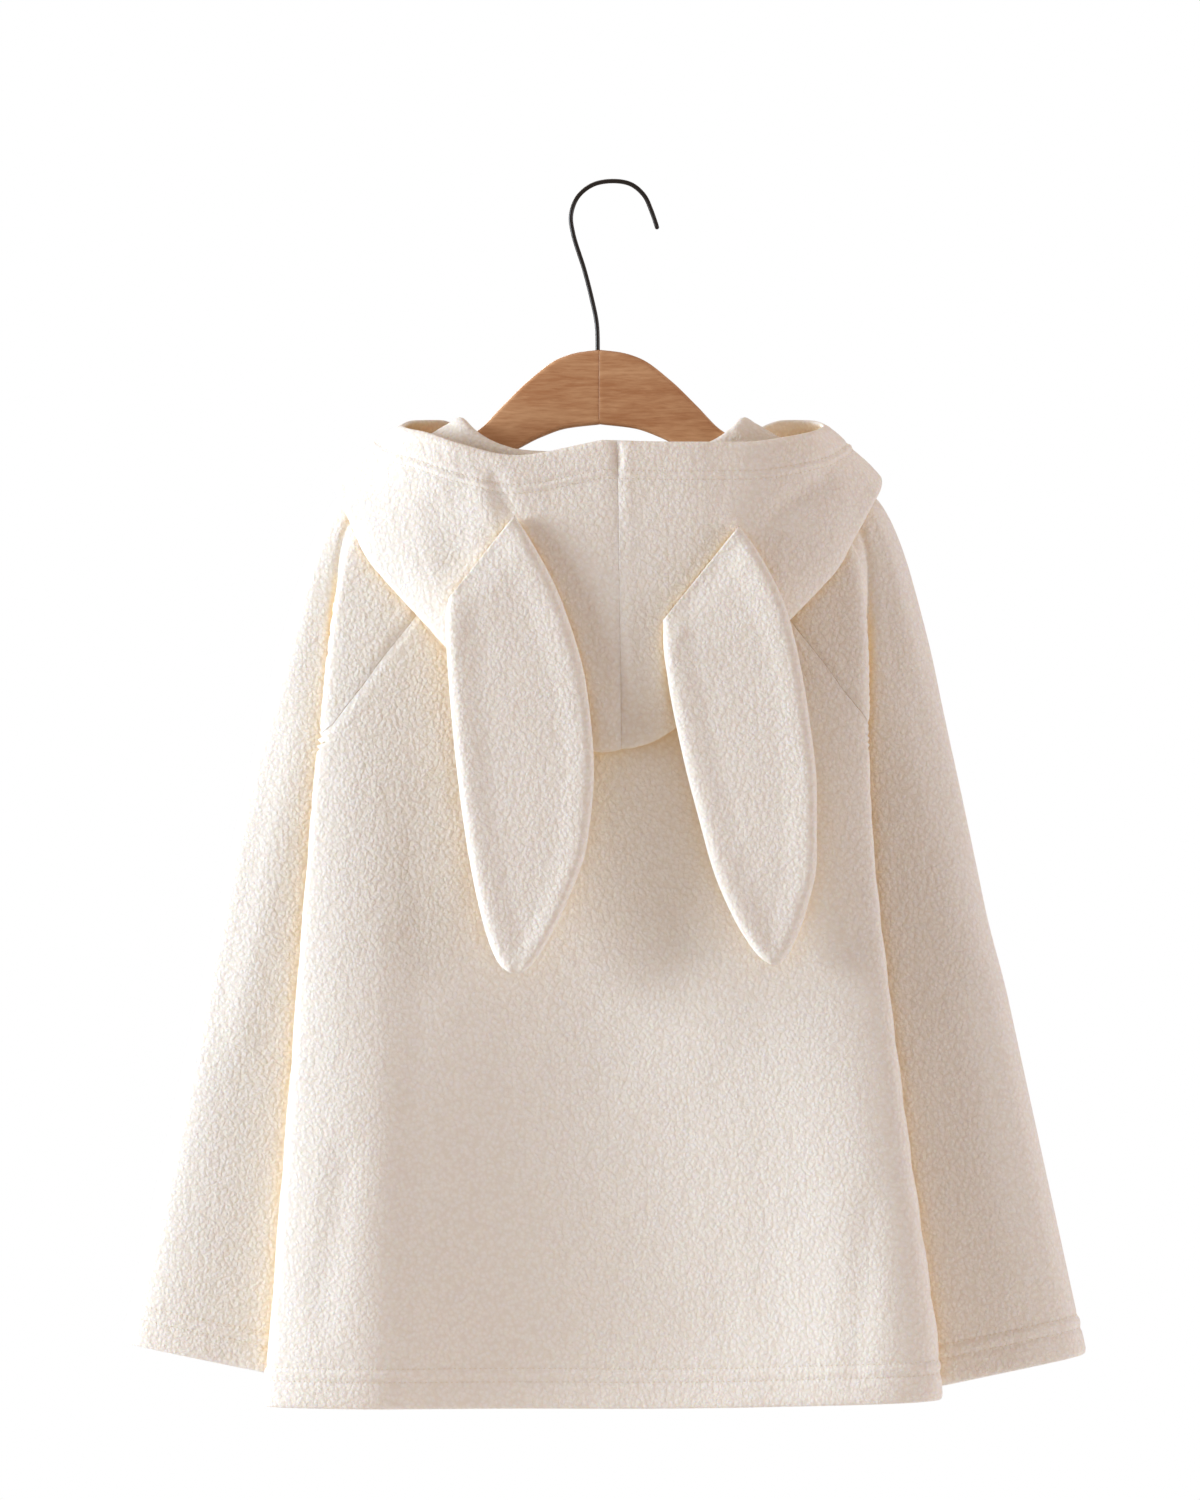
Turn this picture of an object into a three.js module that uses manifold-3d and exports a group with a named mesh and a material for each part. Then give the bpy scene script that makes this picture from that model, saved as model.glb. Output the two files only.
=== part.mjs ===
// Child's hooded fleece pullover with two long rabbit ears, hanging on a wooden hanger with a wire hook.
// Millimetres, +Z up. The origin is the inside top of the hook's crown, where a peg or rail holds it.
// The pullover's back faces -Y and the wearer's right side is +X.
import * as THREE from 'three';
import Module from 'manifold-3d';
import { mergeVertices } from 'three/addons/utils/BufferGeometryUtils.js';

const wasm = await Module();
wasm.setup();

// ---- driving sizes ----

const clothWall = 2.6; // fleece with its pile
const seamGap = 0.3; // between neighbouring pieces
const garmentX = -5.4; // centre line of the pullover
const hangerX = -6.6; // centre joint of the hanger
const step = 0.004; // small change of level or place, for slopes of a surface

// Levels run down the garment: 0 neckline, 1 underarm, 2 hem and cuffs.
const levels = [0, 0.09, 0.2, 0.32, 0.44, 0.54, 0.62, 0.7, 0.78, 0.85, 0.89, 0.92, 0.945, 0.967, 0.987,
  1, 1.04, 1.13, 1.3, 1.53, 1.77, 1.93, 2];
const underarm = 1;

// Outer fold of the sleeve, from the neck along the shoulder to the cuff.
const outerEdge = {
  at: [0, 0.25, 0.5, 0.58, 0.65, 0.8, 1, 1.5, 2],
  leftX: [84, 114, 147, 159, 171, 188.5, 209.5, 248.5, 286.5],
  rightX: [84, 115, 151, 164.5, 176.5, 192, 211, 250, 289],
  y: [2, 1, 0, 0, 0, 0, 0, 1, 2],
  z: [-149, -164, -180.5, -191, -213, -265, -345, -522, -697],
  power: [2.6, 2.6, 2.7, 2.8, 2.9, 3, 3, 3, 3], // how square the section is
  lift: [4.5, 3.2, 2.4, 2.2, 2, 2, 2, 2, 2], // how late a level rises towards the fold line
};

// Back and front: depth from the middle plane, height at the centre line, side fold of the body,
// thickness of that fold, and length along the cloth from the centre line to the raglan seam.
const backFace = {
  side: -1,
  at: [0, 0.25, 0.5, 0.65, 0.8, 1, 1.5, 2],
  depth: [24, 28, 31, 32, 33, 34, 38, 42],
  centreZ: [-172, -222, -272, -302, -332, -372, -552.5, -733],
  leftFold: [60, 90, 130, 155, 163, 170, 184, 199],
  rightFold: [60, 90, 130, 154, 158, 159, 175, 197],
  flange: [13, 13, 13, 13, 13, 13, 14, 16],
  raglan: [57, 79, 102, 120, 143.5, 172, 172, 172],
};
const frontFace = {
  side: 1,
  at: [0, 0.25, 0.5, 0.65, 0.8, 1, 1.5, 2],
  depth: [38, 37, 36, 35, 34, 34, 37, 40],
  centreZ: [-200, -243, -286, -311.8, -337.6, -372, -552.5, -733],
  leftFold: [58, 90, 130, 152, 156, 160, 172, 186],
  rightFold: [58, 90, 130, 151, 154, 156, 168, 184],
  flange: [13, 13, 13, 13, 13, 13, 14, 15],
  raglan: [50, 72, 98, 117, 140, 168, 168, 168],
};

// Where body and sleeve part below the underarm: the middle between them and half the room there.
const parting = {
  at: [0, 1, 1.1, 1.5, 2],
  x: [140, 140, 141, 145, 151],
  room: [2.3, 2.3, 3.8, 5, 6],
};
const sleeveTube = {
  at: [0, 1, 1.5, 2],
  half: [12.5, 12.5, 16, 18],
  leftSlope: [0.216, 0.216, 0.22, 0.205], // how far its inner side hangs below its outer edge
  rightSlope: [0.216, 0.216, 0.22, 0.21],
  leftDrop: [0, 0, 0, -2], // extra length at the cuff
  rightDrop: [0, 0, 2, 5.3],
};
const bodyRise = { at: [1, 1.1, 1.5, 2], left: [27, 22, 8, 1.8], right: [27, 22, 9, 6] };
const foldStart = 0.46; // level where the side fold of the body begins
const foldGrowth = 1.4;
// The side fold's guide points, and those of the sleeve beside it.
const sideFold = {
  flat: 17, // the body is still flat this far before the fold
  under: 11, // its under layer starts this far inside the fold
  fall: 4, // and falls this much on its way to the valley
  valley: 2.3, // the valley's bottom, from the middle plane
  sleeveIn: 9, // first sleeve point beyond the parting
  sleeveInShare: 0.8, // its share of the sleeve's half thickness
  sleeveFull: 0.4, // share of the sleeve's width where it is thickest
  edgeIn: 8, // last sleeve point before the outer edge
  edgeInShare: 0.74,
};
// The raglan seams open a little where they turn into the underarm.
const underarmSeam = { level: 0.93, reach: 0.17, extra: 1.7 };
const turnStart = 0.9; // level where the raglan seam starts to turn into the fold

// Soft upright folds of the back and front: middle at the underarm and at the hem, width, and depth
// at the hem, inwards positive.
const bodyFoldStart = 0.75; // level where they begin
const bodyFoldFade = { end: 150, over: 60 }; // they fade out towards this distance from the centre line
const bodyFolds = [
  { face: backFace, topX: -20, hemX: -40, width: 78, depth: 9 },
  { face: backFace, topX: -112, hemX: -122, width: 15, depth: 2.2 },
  { face: backFace, topX: 62, hemX: 78, width: 20, depth: -2.4 },
  { face: frontFace, topX: 15, hemX: 30, width: 70, depth: 8 },
  { face: frontFace, topX: -88, hemX: -96, width: 18, depth: 2.4 },
];

// The hood hangs down the back. Places run round the neckline: 0 centre back, 1 centre front.
const hood = {
  seamShift: 0.026, // its centre seam lies a little to the right
  start: 0.8, // its neck edge, above the yoke's
  neck: [2, 2.4], // then two points further on in the yoke's direction
  neckUp: 0.5, // the first of them is this much higher
  neckRise: 0.65, // and the second by this share of the roll's rise
  away: 2.4, // top of the roll, outwards from the neck
  neckStep: 0.03, // levels between two points that give the yoke's direction
  layLevel: 0.045, // level where the inner layer comes to lie on the yoke
  layShare: 0.3, // and at most this share of its drop
  layRoom: 0.6, // extra room there
  layers: [0.5, 0.9], // shares of the drop with a point of the inner layer
  swellAt: 0.6, // share of the drop that gives the outer layer's direction
};
// Points of the outer layer, as shares of the way to the face edge and of the bulge.
const outerSwell = [[0.14, 0.8], [0.45, 1], [0.8, 0.6]];
const hoodRoll = {
  at: [0, 0.25, 0.4, 0.49, 0.6, 0.8, 1],
  rise: [9, 8, 6, 5, 6, 8, 8],
  lie: [5, 5, 6, 6.5, 6, 5, 5], // distance of its inner layer from the yoke
  turn: [7, 7, 6, 4, 5, 6, 6], // extra distance at its bottom fold
  bulge: [10, 9, 5, 2, 3, 5, 3], // swell of its outer layer
};
const hoodDrop = {
  at: [0, 0.06, 0.11, 0.25, 0.38, 0.49, 0.62, 0.75, 0.88, 1],
  right: [0.845, 0.83, 0.79, 0.66, 0.6, 0.55, 0.42, 0.28, 0.16, 0.11],
  left: [0.845, 0.83, 0.79, 0.66, 0.6, 0.54, 0.41, 0.28, 0.16, 0.11],
};
const faceEdge = {
  at: [0, 0.12, 0.25, 0.35, 0.42, 0.49, 0.56, 0.64, 0.75, 0.87, 1],
  y: [-56, -56, -52, -42, -28, -8, 12, 28, 42, 51, 54],
  rightX: [0, 42, 83, 113, 128, 132, 126, 110, 82, 44, 0],
  rightZ: [-156, -157, -157, -153, -149, -146, -142, -141, -152, -178, -195],
  leftX: [0, 50, 84, 104, 116, 119, 113, 97, 77, 44, 0],
  leftZ: [-156, -165, -158, -151, -148, -146, -142, -141, -152, -178, -195],
};
const hoodPlaces = [0, 0.07, 0.15, 0.23, 0.31, 0.38, 0.43, 0.465, 0.49, 0.515, 0.55, 0.6, 0.67, 0.76, 0.88,
  1];
const hoodRows = 19;

// Ears: both edges from the seam at the root, at 0, to the tip, at 1.
const earShape = {
  half: 4.4, // thickness of one piece
  rim: 0.9, // and at its edges
  rows: 15,
  columns: 6,
  crowd: 0.5, // how much closer the rows are near both ends
  root: { least: 0.45, rate: 3 }, // how the thickness grows from each end
  tip: { least: 0.12, rate: 3.4 },
};
const ears = [
  {
    name: 'ear_left',
    rootY: -66.1,
    tipY: -58,
    tilt: -0.045,
    at: [0, 0.1, 0.25, 0.45, 0.6, 0.75, 0.87, 0.94, 0.98, 1],
    leftX: [-90.8, -92.8, -91.8, -87.8, -82.8, -76.8, -69.8, -64.3, -59.3, -54],
    leftZ: [-250, -262, -285, -335, -378, -415, -445, -461, -469, -472.5],
    rightX: [-51.8, -39.8, -23.8, -8.8, -4.8, -8.8, -20.8, -33.8, -42, -48],
    rightZ: [-201, -220, -252, -305, -352, -395, -430, -456, -468, -472.5],
  },
  {
    name: 'ear_right',
    rootY: -62.6,
    tipY: -56,
    tilt: 0.045,
    at: [0, 0.1, 0.25, 0.45, 0.6, 0.75, 0.87, 0.94, 0.98, 1],
    leftX: [36.2, 36.2, 39.2, 48.2, 57.2, 66.2, 77.2, 87.2, 94.8, 100.5],
    leftZ: [-263, -275, -300, -345, -380, -412, -438, -455, -464, -467.5],
    rightX: [81.2, 93.2, 110.2, 122.2, 127.2, 127.2, 121.2, 114, 109, 105.5],
    rightZ: [-207, -224, -260, -318, -365, -405, -435, -454.5, -463.5, -467.5],
  },
];

// Hanger: upper and lower line of one arm, from the centre joint to its end.
const bar = { thick: 11.5, chamfer: 2.5, chamferSteps: 2, steps: 20 };
const barTop = {
  at: [0, 12, 24, 42, 58, 72, 84, 112, 140, 148],
  z: [-100, -101.4, -105, -118, -133.5, -147.6, -154.5, -168.3, -181.5, -187],
};
const barBottom = { at: [0, 20, 36, 52, 100, 140, 148], z: [-144.6, -147, -152.5, -160.8, -186, -203, -200] };
const wire = { radius: 1.35, sides: 8, steps: 44, socket: 1.65, socketSides: 16, depth: 22 };
const hookPath = [
  [28, -27.6], [24.2, -16.5], [19.8, -7.2], [12, -0.6], [1, 1.35], [-11, -0.9], [-20, -8.2], [-24, -19],
  [-22.8, -30], [-16, -52], [-11.4, -70], [-8.6, -84], [-8, -100], [-8, -118],
];

// ---- materials ----

const fleece = new THREE.MeshStandardMaterial({ color: 0xf0e7d9, roughness: 0.95, metalness: 0 });
const beech = new THREE.MeshStandardMaterial({ color: 0xb88655, roughness: 0.5, metalness: 0 });
const blackWire = new THREE.MeshStandardMaterial({ color: 0x1d1b1a, roughness: 0.4, metalness: 0.6 });

// ---- small helpers ----

const lerp = (a, b, share) => a + (b - a) * share;
const clamp = (value, low, high) => Math.min(high, Math.max(low, value));
const smooth = (share) => share * share * (3 - 2 * share);
const up = new THREE.Vector3(0, 0, 1);
const weld = 1e-4; // corners closer than this become one

// One column of a table at a place, on a smooth line that never overshoots its rows.
function read(table, name, place) {
  const at = table.at;
  const values = table[name];
  const last = at.length - 1;
  if (place <= at[0]) return values[0];
  if (place >= at[last]) return values[last];
  let k = 0;
  while (at[k + 1] < place) k += 1;
  const rate = (i) => (values[i + 1] - values[i]) / (at[i + 1] - at[i]);
  const slope = (i) => {
    if (i === 0) return rate(0);
    if (i === last) return rate(last - 1);
    const before = rate(i - 1);
    const after = rate(i);
    return before * after <= 0 ? 0 : (2 * before * after) / (before + after);
  };
  const span = at[k + 1] - at[k];
  const u = (place - at[k]) / span;
  return values[k] * (1 + 2 * u) * (1 - u) ** 2 + values[k + 1] * u * u * (3 - 2 * u)
    + span * (slope(k) * u * (1 - u) ** 2 + slope(k + 1) * u * u * (u - 1));
}

// ---- sections of the pullover ----

// Places of the guide points of one face between its side fold and the outer edge, where there is no fold.
const plainShare = [0, 0.14, 0.28, 0.42, 0.56, 0.7, 0.84];

// Name of a column that has one value for each side of the pullover.
const sided = (side, left, right) => (side < 0 ? left : right);
const edgeXAt = (level, side) => read(outerEdge, sided(side, 'leftX', 'rightX'), level);
const slopeAt = (level, side) => read(sleeveTube, sided(side, 'leftSlope', 'rightSlope'), level);
const dropAt = (level, side) => read(sleeveTube, sided(side, 'leftDrop', 'rightDrop'), level);

// Guide points of one face on one side, from the centre line to just inside the outer edge.
function facePoints(level, side, face, part) {
  const depth = read(face, 'depth', level);
  const centreZ = read(face, 'centreZ', level);
  const foldX = read(face, sided(side, 'leftFold', 'rightFold'), level);
  const flange = read(face, 'flange', level);
  const edgeX = edgeXAt(level, side);
  const edgeY = read(outerEdge, 'y', level);
  const edgeZ = read(outerEdge, 'z', level);
  const power = read(outerEdge, 'power', level);
  const partX = read(parting, 'x', level);
  const room = read(parting, 'room', level);
  const half = read(sleeveTube, 'half', level);
  const below = level >= underarm;
  const grown = part === 'laid' ? 0 : clamp((level - foldStart) / (underarm - foldStart), 0, 1) ** foldGrowth;
  const bodyX = below ? partX - room : partX;
  const sleeveX = below ? partX + room : partX;
  const plain = plainShare.map((share) => {
    const x = lerp(foldX, edgeX, share);
    return [x, depth * (1 - (x / edgeX) ** power) ** (1 / power)];
  });
  const folded = [
    [foldX, depth - flange / 2],
    [foldX - sideFold.under, depth - flange],
    [bodyX, depth - flange - sideFold.fall],
    [partX, sideFold.valley],
    [sleeveX + sideFold.sleeveIn, half * sideFold.sleeveInShare],
    [lerp(sleeveX, edgeX, sideFold.sleeveFull), half],
    [edgeX - sideFold.edgeIn, half * sideFold.edgeInShare],
  ];
  const flatX = foldX - sideFold.flat;
  const flatY = depth * (1 - (flatX / edgeX) ** power) ** (1 / power);
  const points = [[0, depth], [flatX, lerp(flatY, depth - 1, grown)]];
  plain.forEach((place, k) => {
    points.push([lerp(place[0], folded[k][0], grown), lerp(place[1], folded[k][1], grown)]);
  });
  const heightAt = (x) => {
    if (!below) return centreZ + (edgeZ - centreZ) * (x / edgeX) ** read(outerEdge, 'lift', level);
    if (part === 'sleeve') return edgeZ - dropAt(level, side) - slopeAt(level, side) * (edgeX - x);
    return centreZ + read(bodyRise, sided(side, 'left', 'right'), level) * (x / edgeXAt(underarm, side)) ** 2;
  };
  return points.map(([x, y]) => new THREE.Vector3(x, face.side * y + edgeY * (x / edgeX) ** 2, heightAt(x)));
}

const valleyIndex = 5; // guide point at the bottom of the side fold
const mirrored = (point) => new THREE.Vector3(-point.x, point.y, point.z);
const edgePoint = (level, side) => (
  new THREE.Vector3(edgeXAt(level, side), read(outerEdge, 'y', level), read(outerEdge, 'z', level)));

// A half section from the centre back to the centre front, carried on past both by one point.
function halfSection(half) {
  const points = [mirrored(half[1]), ...half, mirrored(half[half.length - 2])];
  return { curve: new THREE.CatmullRomCurve3(points), first: 1, count: points.length - 1, last: half.length };
}

// Half of the yoke's section, from centre back over the shoulder to centre front, as if on the right.
function yokeCurve(level, side, part = 'yoke') {
  const back = facePoints(level, side, backFace, part);
  const front = facePoints(level, side, frontFace, part).reverse();
  return halfSection([...back, edgePoint(level, side), ...front]);
}

// The same without the side folds, as a cloth that lies over them bridges them.
const laidCurve = (level, side) => yokeCurve(level, side, 'laid');

// Half of the body's section below the underarm, from centre back to centre front.
function bodyCurve(level, side) {
  const back = facePoints(level, side, backFace, 'body').slice(0, valleyIndex);
  const front = facePoints(level, side, frontFace, 'body').slice(0, valleyIndex).reverse();
  const seam = back[valleyIndex - 1].clone().lerp(front[0], 0.5);
  seam.x = read(parting, 'x', level) - read(parting, 'room', level);
  return halfSection([...back, seam, ...front]);
}

// Section of a sleeve below the underarm, from its seam all round.
function sleeveCurve(level, side) {
  const back = facePoints(level, side, backFace, 'sleeve').slice(valleyIndex + 1);
  const front = facePoints(level, side, frontFace, 'sleeve').slice(valleyIndex + 1).reverse();
  const edge = edgePoint(level, side);
  edge.z -= dropAt(level, side);
  const seam = back[0].clone().lerp(front[front.length - 1], 0.5);
  seam.x = read(parting, 'x', level) + read(parting, 'room', level);
  seam.z = edge.z - slopeAt(level, side) * (edge.x - seam.x);
  const points = [seam, ...back, edge, ...front];
  const count = points.length;
  return { curve: new THREE.CatmullRomCurve3(points, true), first: 0, count, last: count };
}

// Shares of a section's curve, with the length walked along the cloth to each.
const walkSteps = 240;
function walk(section) {
  const places = [];
  let length = 0;
  let before = null;
  for (let k = 0; k <= walkSteps; k += 1) {
    const share = lerp(section.first, section.last, k / walkSteps) / section.count;
    const point = section.curve.getPoint(share);
    if (before) length += point.distanceTo(before);
    places.push({ share, length, point });
    before = point;
  }
  return places;
}

function shareAt(places, length) {
  let k = 0;
  while (k < places.length - 2 && places[k + 1].length < length) k += 1;
  const span = places[k + 1].length - places[k].length;
  return lerp(places[k].share, places[k + 1].share, clamp((length - places[k].length) / span, 0, 1));
}

// Shares between two lengths, closer together where the cloth turns.
const turnWeight = 13; // millimetres of cloth that one radian of turn counts as
function spread(places, from, to, count) {
  const inside = places.filter((place) => place.length > from && place.length < to);
  let weight = 0;
  const weights = inside.map((place, k) => {
    if (k > 1) {
      const a = inside[k - 1].point.clone().sub(inside[k - 2].point);
      const b = place.point.clone().sub(inside[k - 1].point);
      weight += b.length() + turnWeight * a.angleTo(b);
    } else if (k === 1) {
      weight += place.point.distanceTo(inside[0].point);
    }
    return weight;
  });
  const shares = [];
  for (let k = 0; k <= count; k += 1) {
    const target = (weight * k) / count;
    let j = 0;
    while (j < inside.length - 2 && weights[j + 1] < target) j += 1;
    const mix = clamp((target - weights[j]) / (weights[j + 1] - weights[j]), 0, 1);
    shares.push(lerp(inside[j].share, inside[j + 1].share, mix));
  }
  shares[0] = shareAt(places, from);
  shares[count] = shareAt(places, to);
  return shares;
}

// Soft upright folds, as a move of the cloth towards the middle plane.
function foldMove(x, level, face) {
  const grown = smooth(clamp(level - bodyFoldStart, 0, 1));
  let move = 0;
  for (const fold of bodyFolds.filter((one) => one.face === face)) {
    const middle = lerp(fold.topX, fold.hemX, clamp(level - underarm, 0, 1));
    move += fold.depth * Math.exp(-(((x - middle) / fold.width) ** 2));
  }
  return move * grown;
}

// A point of the pullover's surface with its outward direction, on the right (1) or left (-1) side.
function surfacePoint(section, level, share, side, face) {
  const above = level < underarm;
  const sideLevel = above ? Math.min(level, underarm - step * 2) : Math.max(level, underarm + step);
  const at = (one, place) => {
    const point = section(one, side).curve.getPoint(place);
    point.x *= side;
    if (face) {
      const inside = smooth(clamp((bodyFoldFade.end - Math.abs(point.x)) / bodyFoldFade.over, 0, 1));
      point.y -= face.side * foldMove(point.x, one, face) * inside;
    }
    return point;
  };
  const along = at(sideLevel, share + step).sub(at(sideLevel, share - step));
  const down = at(sideLevel + step, share).sub(at(sideLevel - step, share));
  return { point: at(level, share), normal: down.cross(along).normalize().multiplyScalar(side) };
}

// ---- cloth solids ----

// A closed wall round a grid of surface points, half its thickness to each side.
function clothSolid(rows, thickness) {
  const positions = [];
  const index = [];
  const width = rows[0].length;
  const layer = rows.length * width;
  for (const offset of [thickness / 2, -thickness / 2]) {
    for (const row of rows) {
      for (const { point, normal } of row) {
        positions.push(...point.clone().addScaledVector(normal, offset).toArray());
      }
    }
  }
  const quad = (a, b, c, d) => index.push(a, b, c, a, c, d);
  for (let r = 0; r < rows.length - 1; r += 1) {
    for (let c = 0; c < width - 1; c += 1) {
      const a = r * width + c;
      const falling = rows[r][c].point.distanceTo(rows[r + 1][c + 1].point);
      const rising = rows[r + 1][c].point.distanceTo(rows[r][c + 1].point);
      if (falling < rising) {
        quad(a, a + width, a + width + 1, a + 1);
        quad(layer + a, layer + a + 1, layer + a + width + 1, layer + a + width);
      } else {
        quad(a + 1, a, a + width, a + width + 1);
        quad(layer + a + 1, layer + a + width + 1, layer + a + width, layer + a);
      }
    }
  }
  for (let c = 0; c < width - 1; c += 1) {
    const low = (rows.length - 1) * width + c;
    quad(c, c + 1, layer + c + 1, layer + c);
    quad(low + 1, low, layer + low, layer + low + 1);
  }
  for (let r = 0; r < rows.length - 1; r += 1) {
    const a = r * width;
    const b = a + width - 1;
    quad(a + width, a, layer + a, layer + a + width);
    quad(b + width, layer + b + width, layer + b, b);
  }
  return outward(positions, index);
}

// A geometry with its faces pointing out of the body that they close.
function outward(positions, index) {
  let volume = 0;
  const corner = (k) => new THREE.Vector3().fromArray(positions, index[k] * 3);
  for (let k = 0; k < index.length; k += 3) {
    volume += corner(k).dot(corner(k + 1).cross(corner(k + 2)));
  }
  const faces = index.slice();
  if (volume < 0) {
    for (let k = 0; k < faces.length; k += 3) [faces[k], faces[k + 1]] = [faces[k + 1], faces[k]];
  }
  const geometry = new THREE.BufferGeometry();
  geometry.setAttribute('position', new THREE.Float32BufferAttribute(positions, 3));
  geometry.setIndex(faces);
  geometry.computeVertexNormals();
  return geometry;
}

// Length along the cloth from the centre line to the raglan seam; it ends at the side fold's bottom.
function raglanLength(level, face, places, section) {
  const valley = face === backFace ? section.first + valleyIndex : section.last - valleyIndex;
  const total = places[places.length - 1].length;
  const miss = (place) => Math.abs(place.share * section.count - valley);
  const near = places.reduce((best, place) => (miss(place) < miss(best) ? place : best));
  const toValley = face === backFace ? near.length : total - near.length;
  const turn = clamp((level - turnStart) / (underarm - turnStart), 0, 1) ** 2;
  return lerp(read(face, 'raglan', level), toValley, turn);
}

// Half the room between two pieces at a seam.
function seamRoom(level) {
  const near = clamp(1 - Math.abs(level - underarmSeam.level) / underarmSeam.reach, 0, 1);
  return (seamGap + underarmSeam.extra * smooth(near)) / 2;
}

const bodyColumns = 12; // on each side of the centre line
const sleeveColumns = 18;

// Rows of the back or front, from its left seam to its right seam.
function bodyRows(face) {
  return levels.map((level) => {
    const section = level < underarm ? yokeCurve : bodyCurve;
    const half = (side) => {
      const cut = section(level, side);
      const places = walk(cut);
      const total = places[places.length - 1].length;
      const seamAt = level < underarm ? raglanLength : sideSeamLength;
      const end = seamAt(level, face, places, cut) - seamRoom(level);
      const range = face === backFace ? [0, end] : [total - end, total];
      const shares = spread(places, range[0], range[1], bodyColumns);
      if (face === frontFace) shares.reverse();
      return shares.map((share) => surfacePoint(section, level, share, side, face));
    };
    return [...half(-1).reverse(), ...half(1).slice(1)];
  });
}

// Length along the cloth from the centre line to the side seam.
function sideSeamLength(level, face, places, section) {
  const middle = (section.first + section.last) / 2;
  const share = middle / section.count;
  let k = 0;
  while (k < places.length - 2 && places[k + 1].share < share) k += 1;
  const length = lerp(places[k].length, places[k + 1].length,
    (share - places[k].share) / (places[k + 1].share - places[k].share));
  return face === backFace ? length : places[places.length - 1].length - length;
}

// Rows of a sleeve, from its back seam over the outer edge to its front seam.
function sleeveRows(side) {
  return levels.map((level) => {
    const below = level >= underarm;
    const section = below ? sleeveCurve : yokeCurve;
    const cut = section(level, side);
    const places = walk(cut);
    const total = places[places.length - 1].length;
    const from = below ? 0 : raglanLength(level, backFace, places, cut);
    const to = below ? 0 : raglanLength(level, frontFace, places, cut);
    const shares = spread(places, from + seamRoom(level), total - to - seamRoom(level), sleeveColumns);
    return shares.map((share) => surfacePoint(section, level, share, side, null));
  });
}

// ---- hood ----

// A point over the yoke at a level and a place round it (-1 to 1), moved out by a distance.
function overYoke(level, place, distance) {
  const side = place < 0 ? -1 : 1;
  const places = walk(laidCurve(level, side));
  const share = shareAt(places, Math.abs(place) * places[places.length - 1].length);
  const { point, normal } = surfacePoint(laidCurve, level, share, side, null);
  return point.addScaledVector(normal, distance);
}

// The hood's guide points at a place: neck seam, roll, inner layer, bottom fold, outer layer, face edge.
function hoodProfile(place) {
  const round = Math.abs(place);
  const hand = place < 0 ? 'left' : 'right';
  const drop = read(hoodDrop, hand, round);
  const rise = read(hoodRoll, 'rise', round);
  const bulge = read(hoodRoll, 'bulge', round);
  const lie = read(hoodRoll, 'lie', round);
  const neck = overYoke(0, place, 0);
  const away = overYoke(0, place, 1).sub(neck);
  const rising = neck.clone().sub(overYoke(hood.neckStep, place, 0)).normalize();
  const outwards = overYoke(drop * hood.swellAt, place, 1).sub(overYoke(drop * hood.swellAt, place, 0));
  const edge = new THREE.Vector3(
    read(faceEdge, `${hand}X`, round) * Math.sign(place || 1),
    read(faceEdge, 'y', round),
    read(faceEdge, `${hand}Z`, round),
  );
  const bottom = overYoke(drop, place, lie + read(hoodRoll, 'turn', round));
  const outer = (share, swell) => bottom.clone().lerp(edge, share).addScaledVector(outwards, bulge * swell);
  return [
    neck.clone().addScaledVector(rising, hood.start),
    neck.clone().addScaledVector(rising, hood.neck[0]).addScaledVector(up, hood.neckUp),
    neck.clone().addScaledVector(rising, hood.neck[1]).addScaledVector(up, rise * hood.neckRise),
    neck.clone().addScaledVector(up, rise).addScaledVector(away, hood.away),
    overYoke(Math.min(hood.layLevel, drop * hood.layShare), place, lie + hood.layRoom),
    ...hood.layers.map((share) => overYoke(drop * share, place, lie)),
    bottom,
    ...outerSwell.map(([share, swell]) => outer(share, swell)),
    edge,
  ];
}

// Both halves of the hood as columns round the neck, the left half first.
function hoodColumns() {
  const shares = [...hoodPlaces].reverse().map((place) => -place).concat(hoodPlaces);
  const half = hoodPlaces.length;
  const columns = shares.map((share, k) => {
    const place = share + hood.seamShift * (1 - share * share);
    const curve = new THREE.CatmullRomCurve3(hoodProfile(place));
    const section = { curve, first: 0, last: 1, count: 1 };
    const places = walk(section);
    const rows = spread(places, 0, places[places.length - 1].length, hoodRows);
    const across = k < half ? -1 : 1;
    return rows.map((row) => {
      const point = curve.getPoint(row);
      if (share === 0) point.x += (across * seamGap) / 2;
      if (Math.abs(share) === 1) point.x = (across * seamGap) / 2;
      return point;
    });
  });
  return { columns, half };
}

function hoodHalves() {
  const { columns, half } = hoodColumns();
  const count = columns.length;
  const normalAt = (c, r) => {
    const before = columns[(c - 1 + count) % count][r];
    const after = columns[(c + 1) % count][r];
    const higher = columns[c][Math.max(r - 1, 0)];
    const lower = columns[c][Math.min(r + 1, hoodRows)];
    return after.clone().sub(before).cross(lower.clone().sub(higher)).normalize();
  };
  const full = columns.map((column, c) => column.map((point, r) => ({ point, normal: normalAt(c, r) })));
  const seam = (a, b) => {
    for (let r = 0; r <= hoodRows; r += 1) {
      const shared = full[a][r].normal.clone().add(full[b][r].normal).normalize();
      full[a][r].normal = shared;
      full[b][r].normal = shared.clone();
    }
  };
  seam(half - 1, half);
  seam(0, count - 1);
  return { left: full.slice(0, half), right: full.slice(half) };
}

// ---- ears ----

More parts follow.
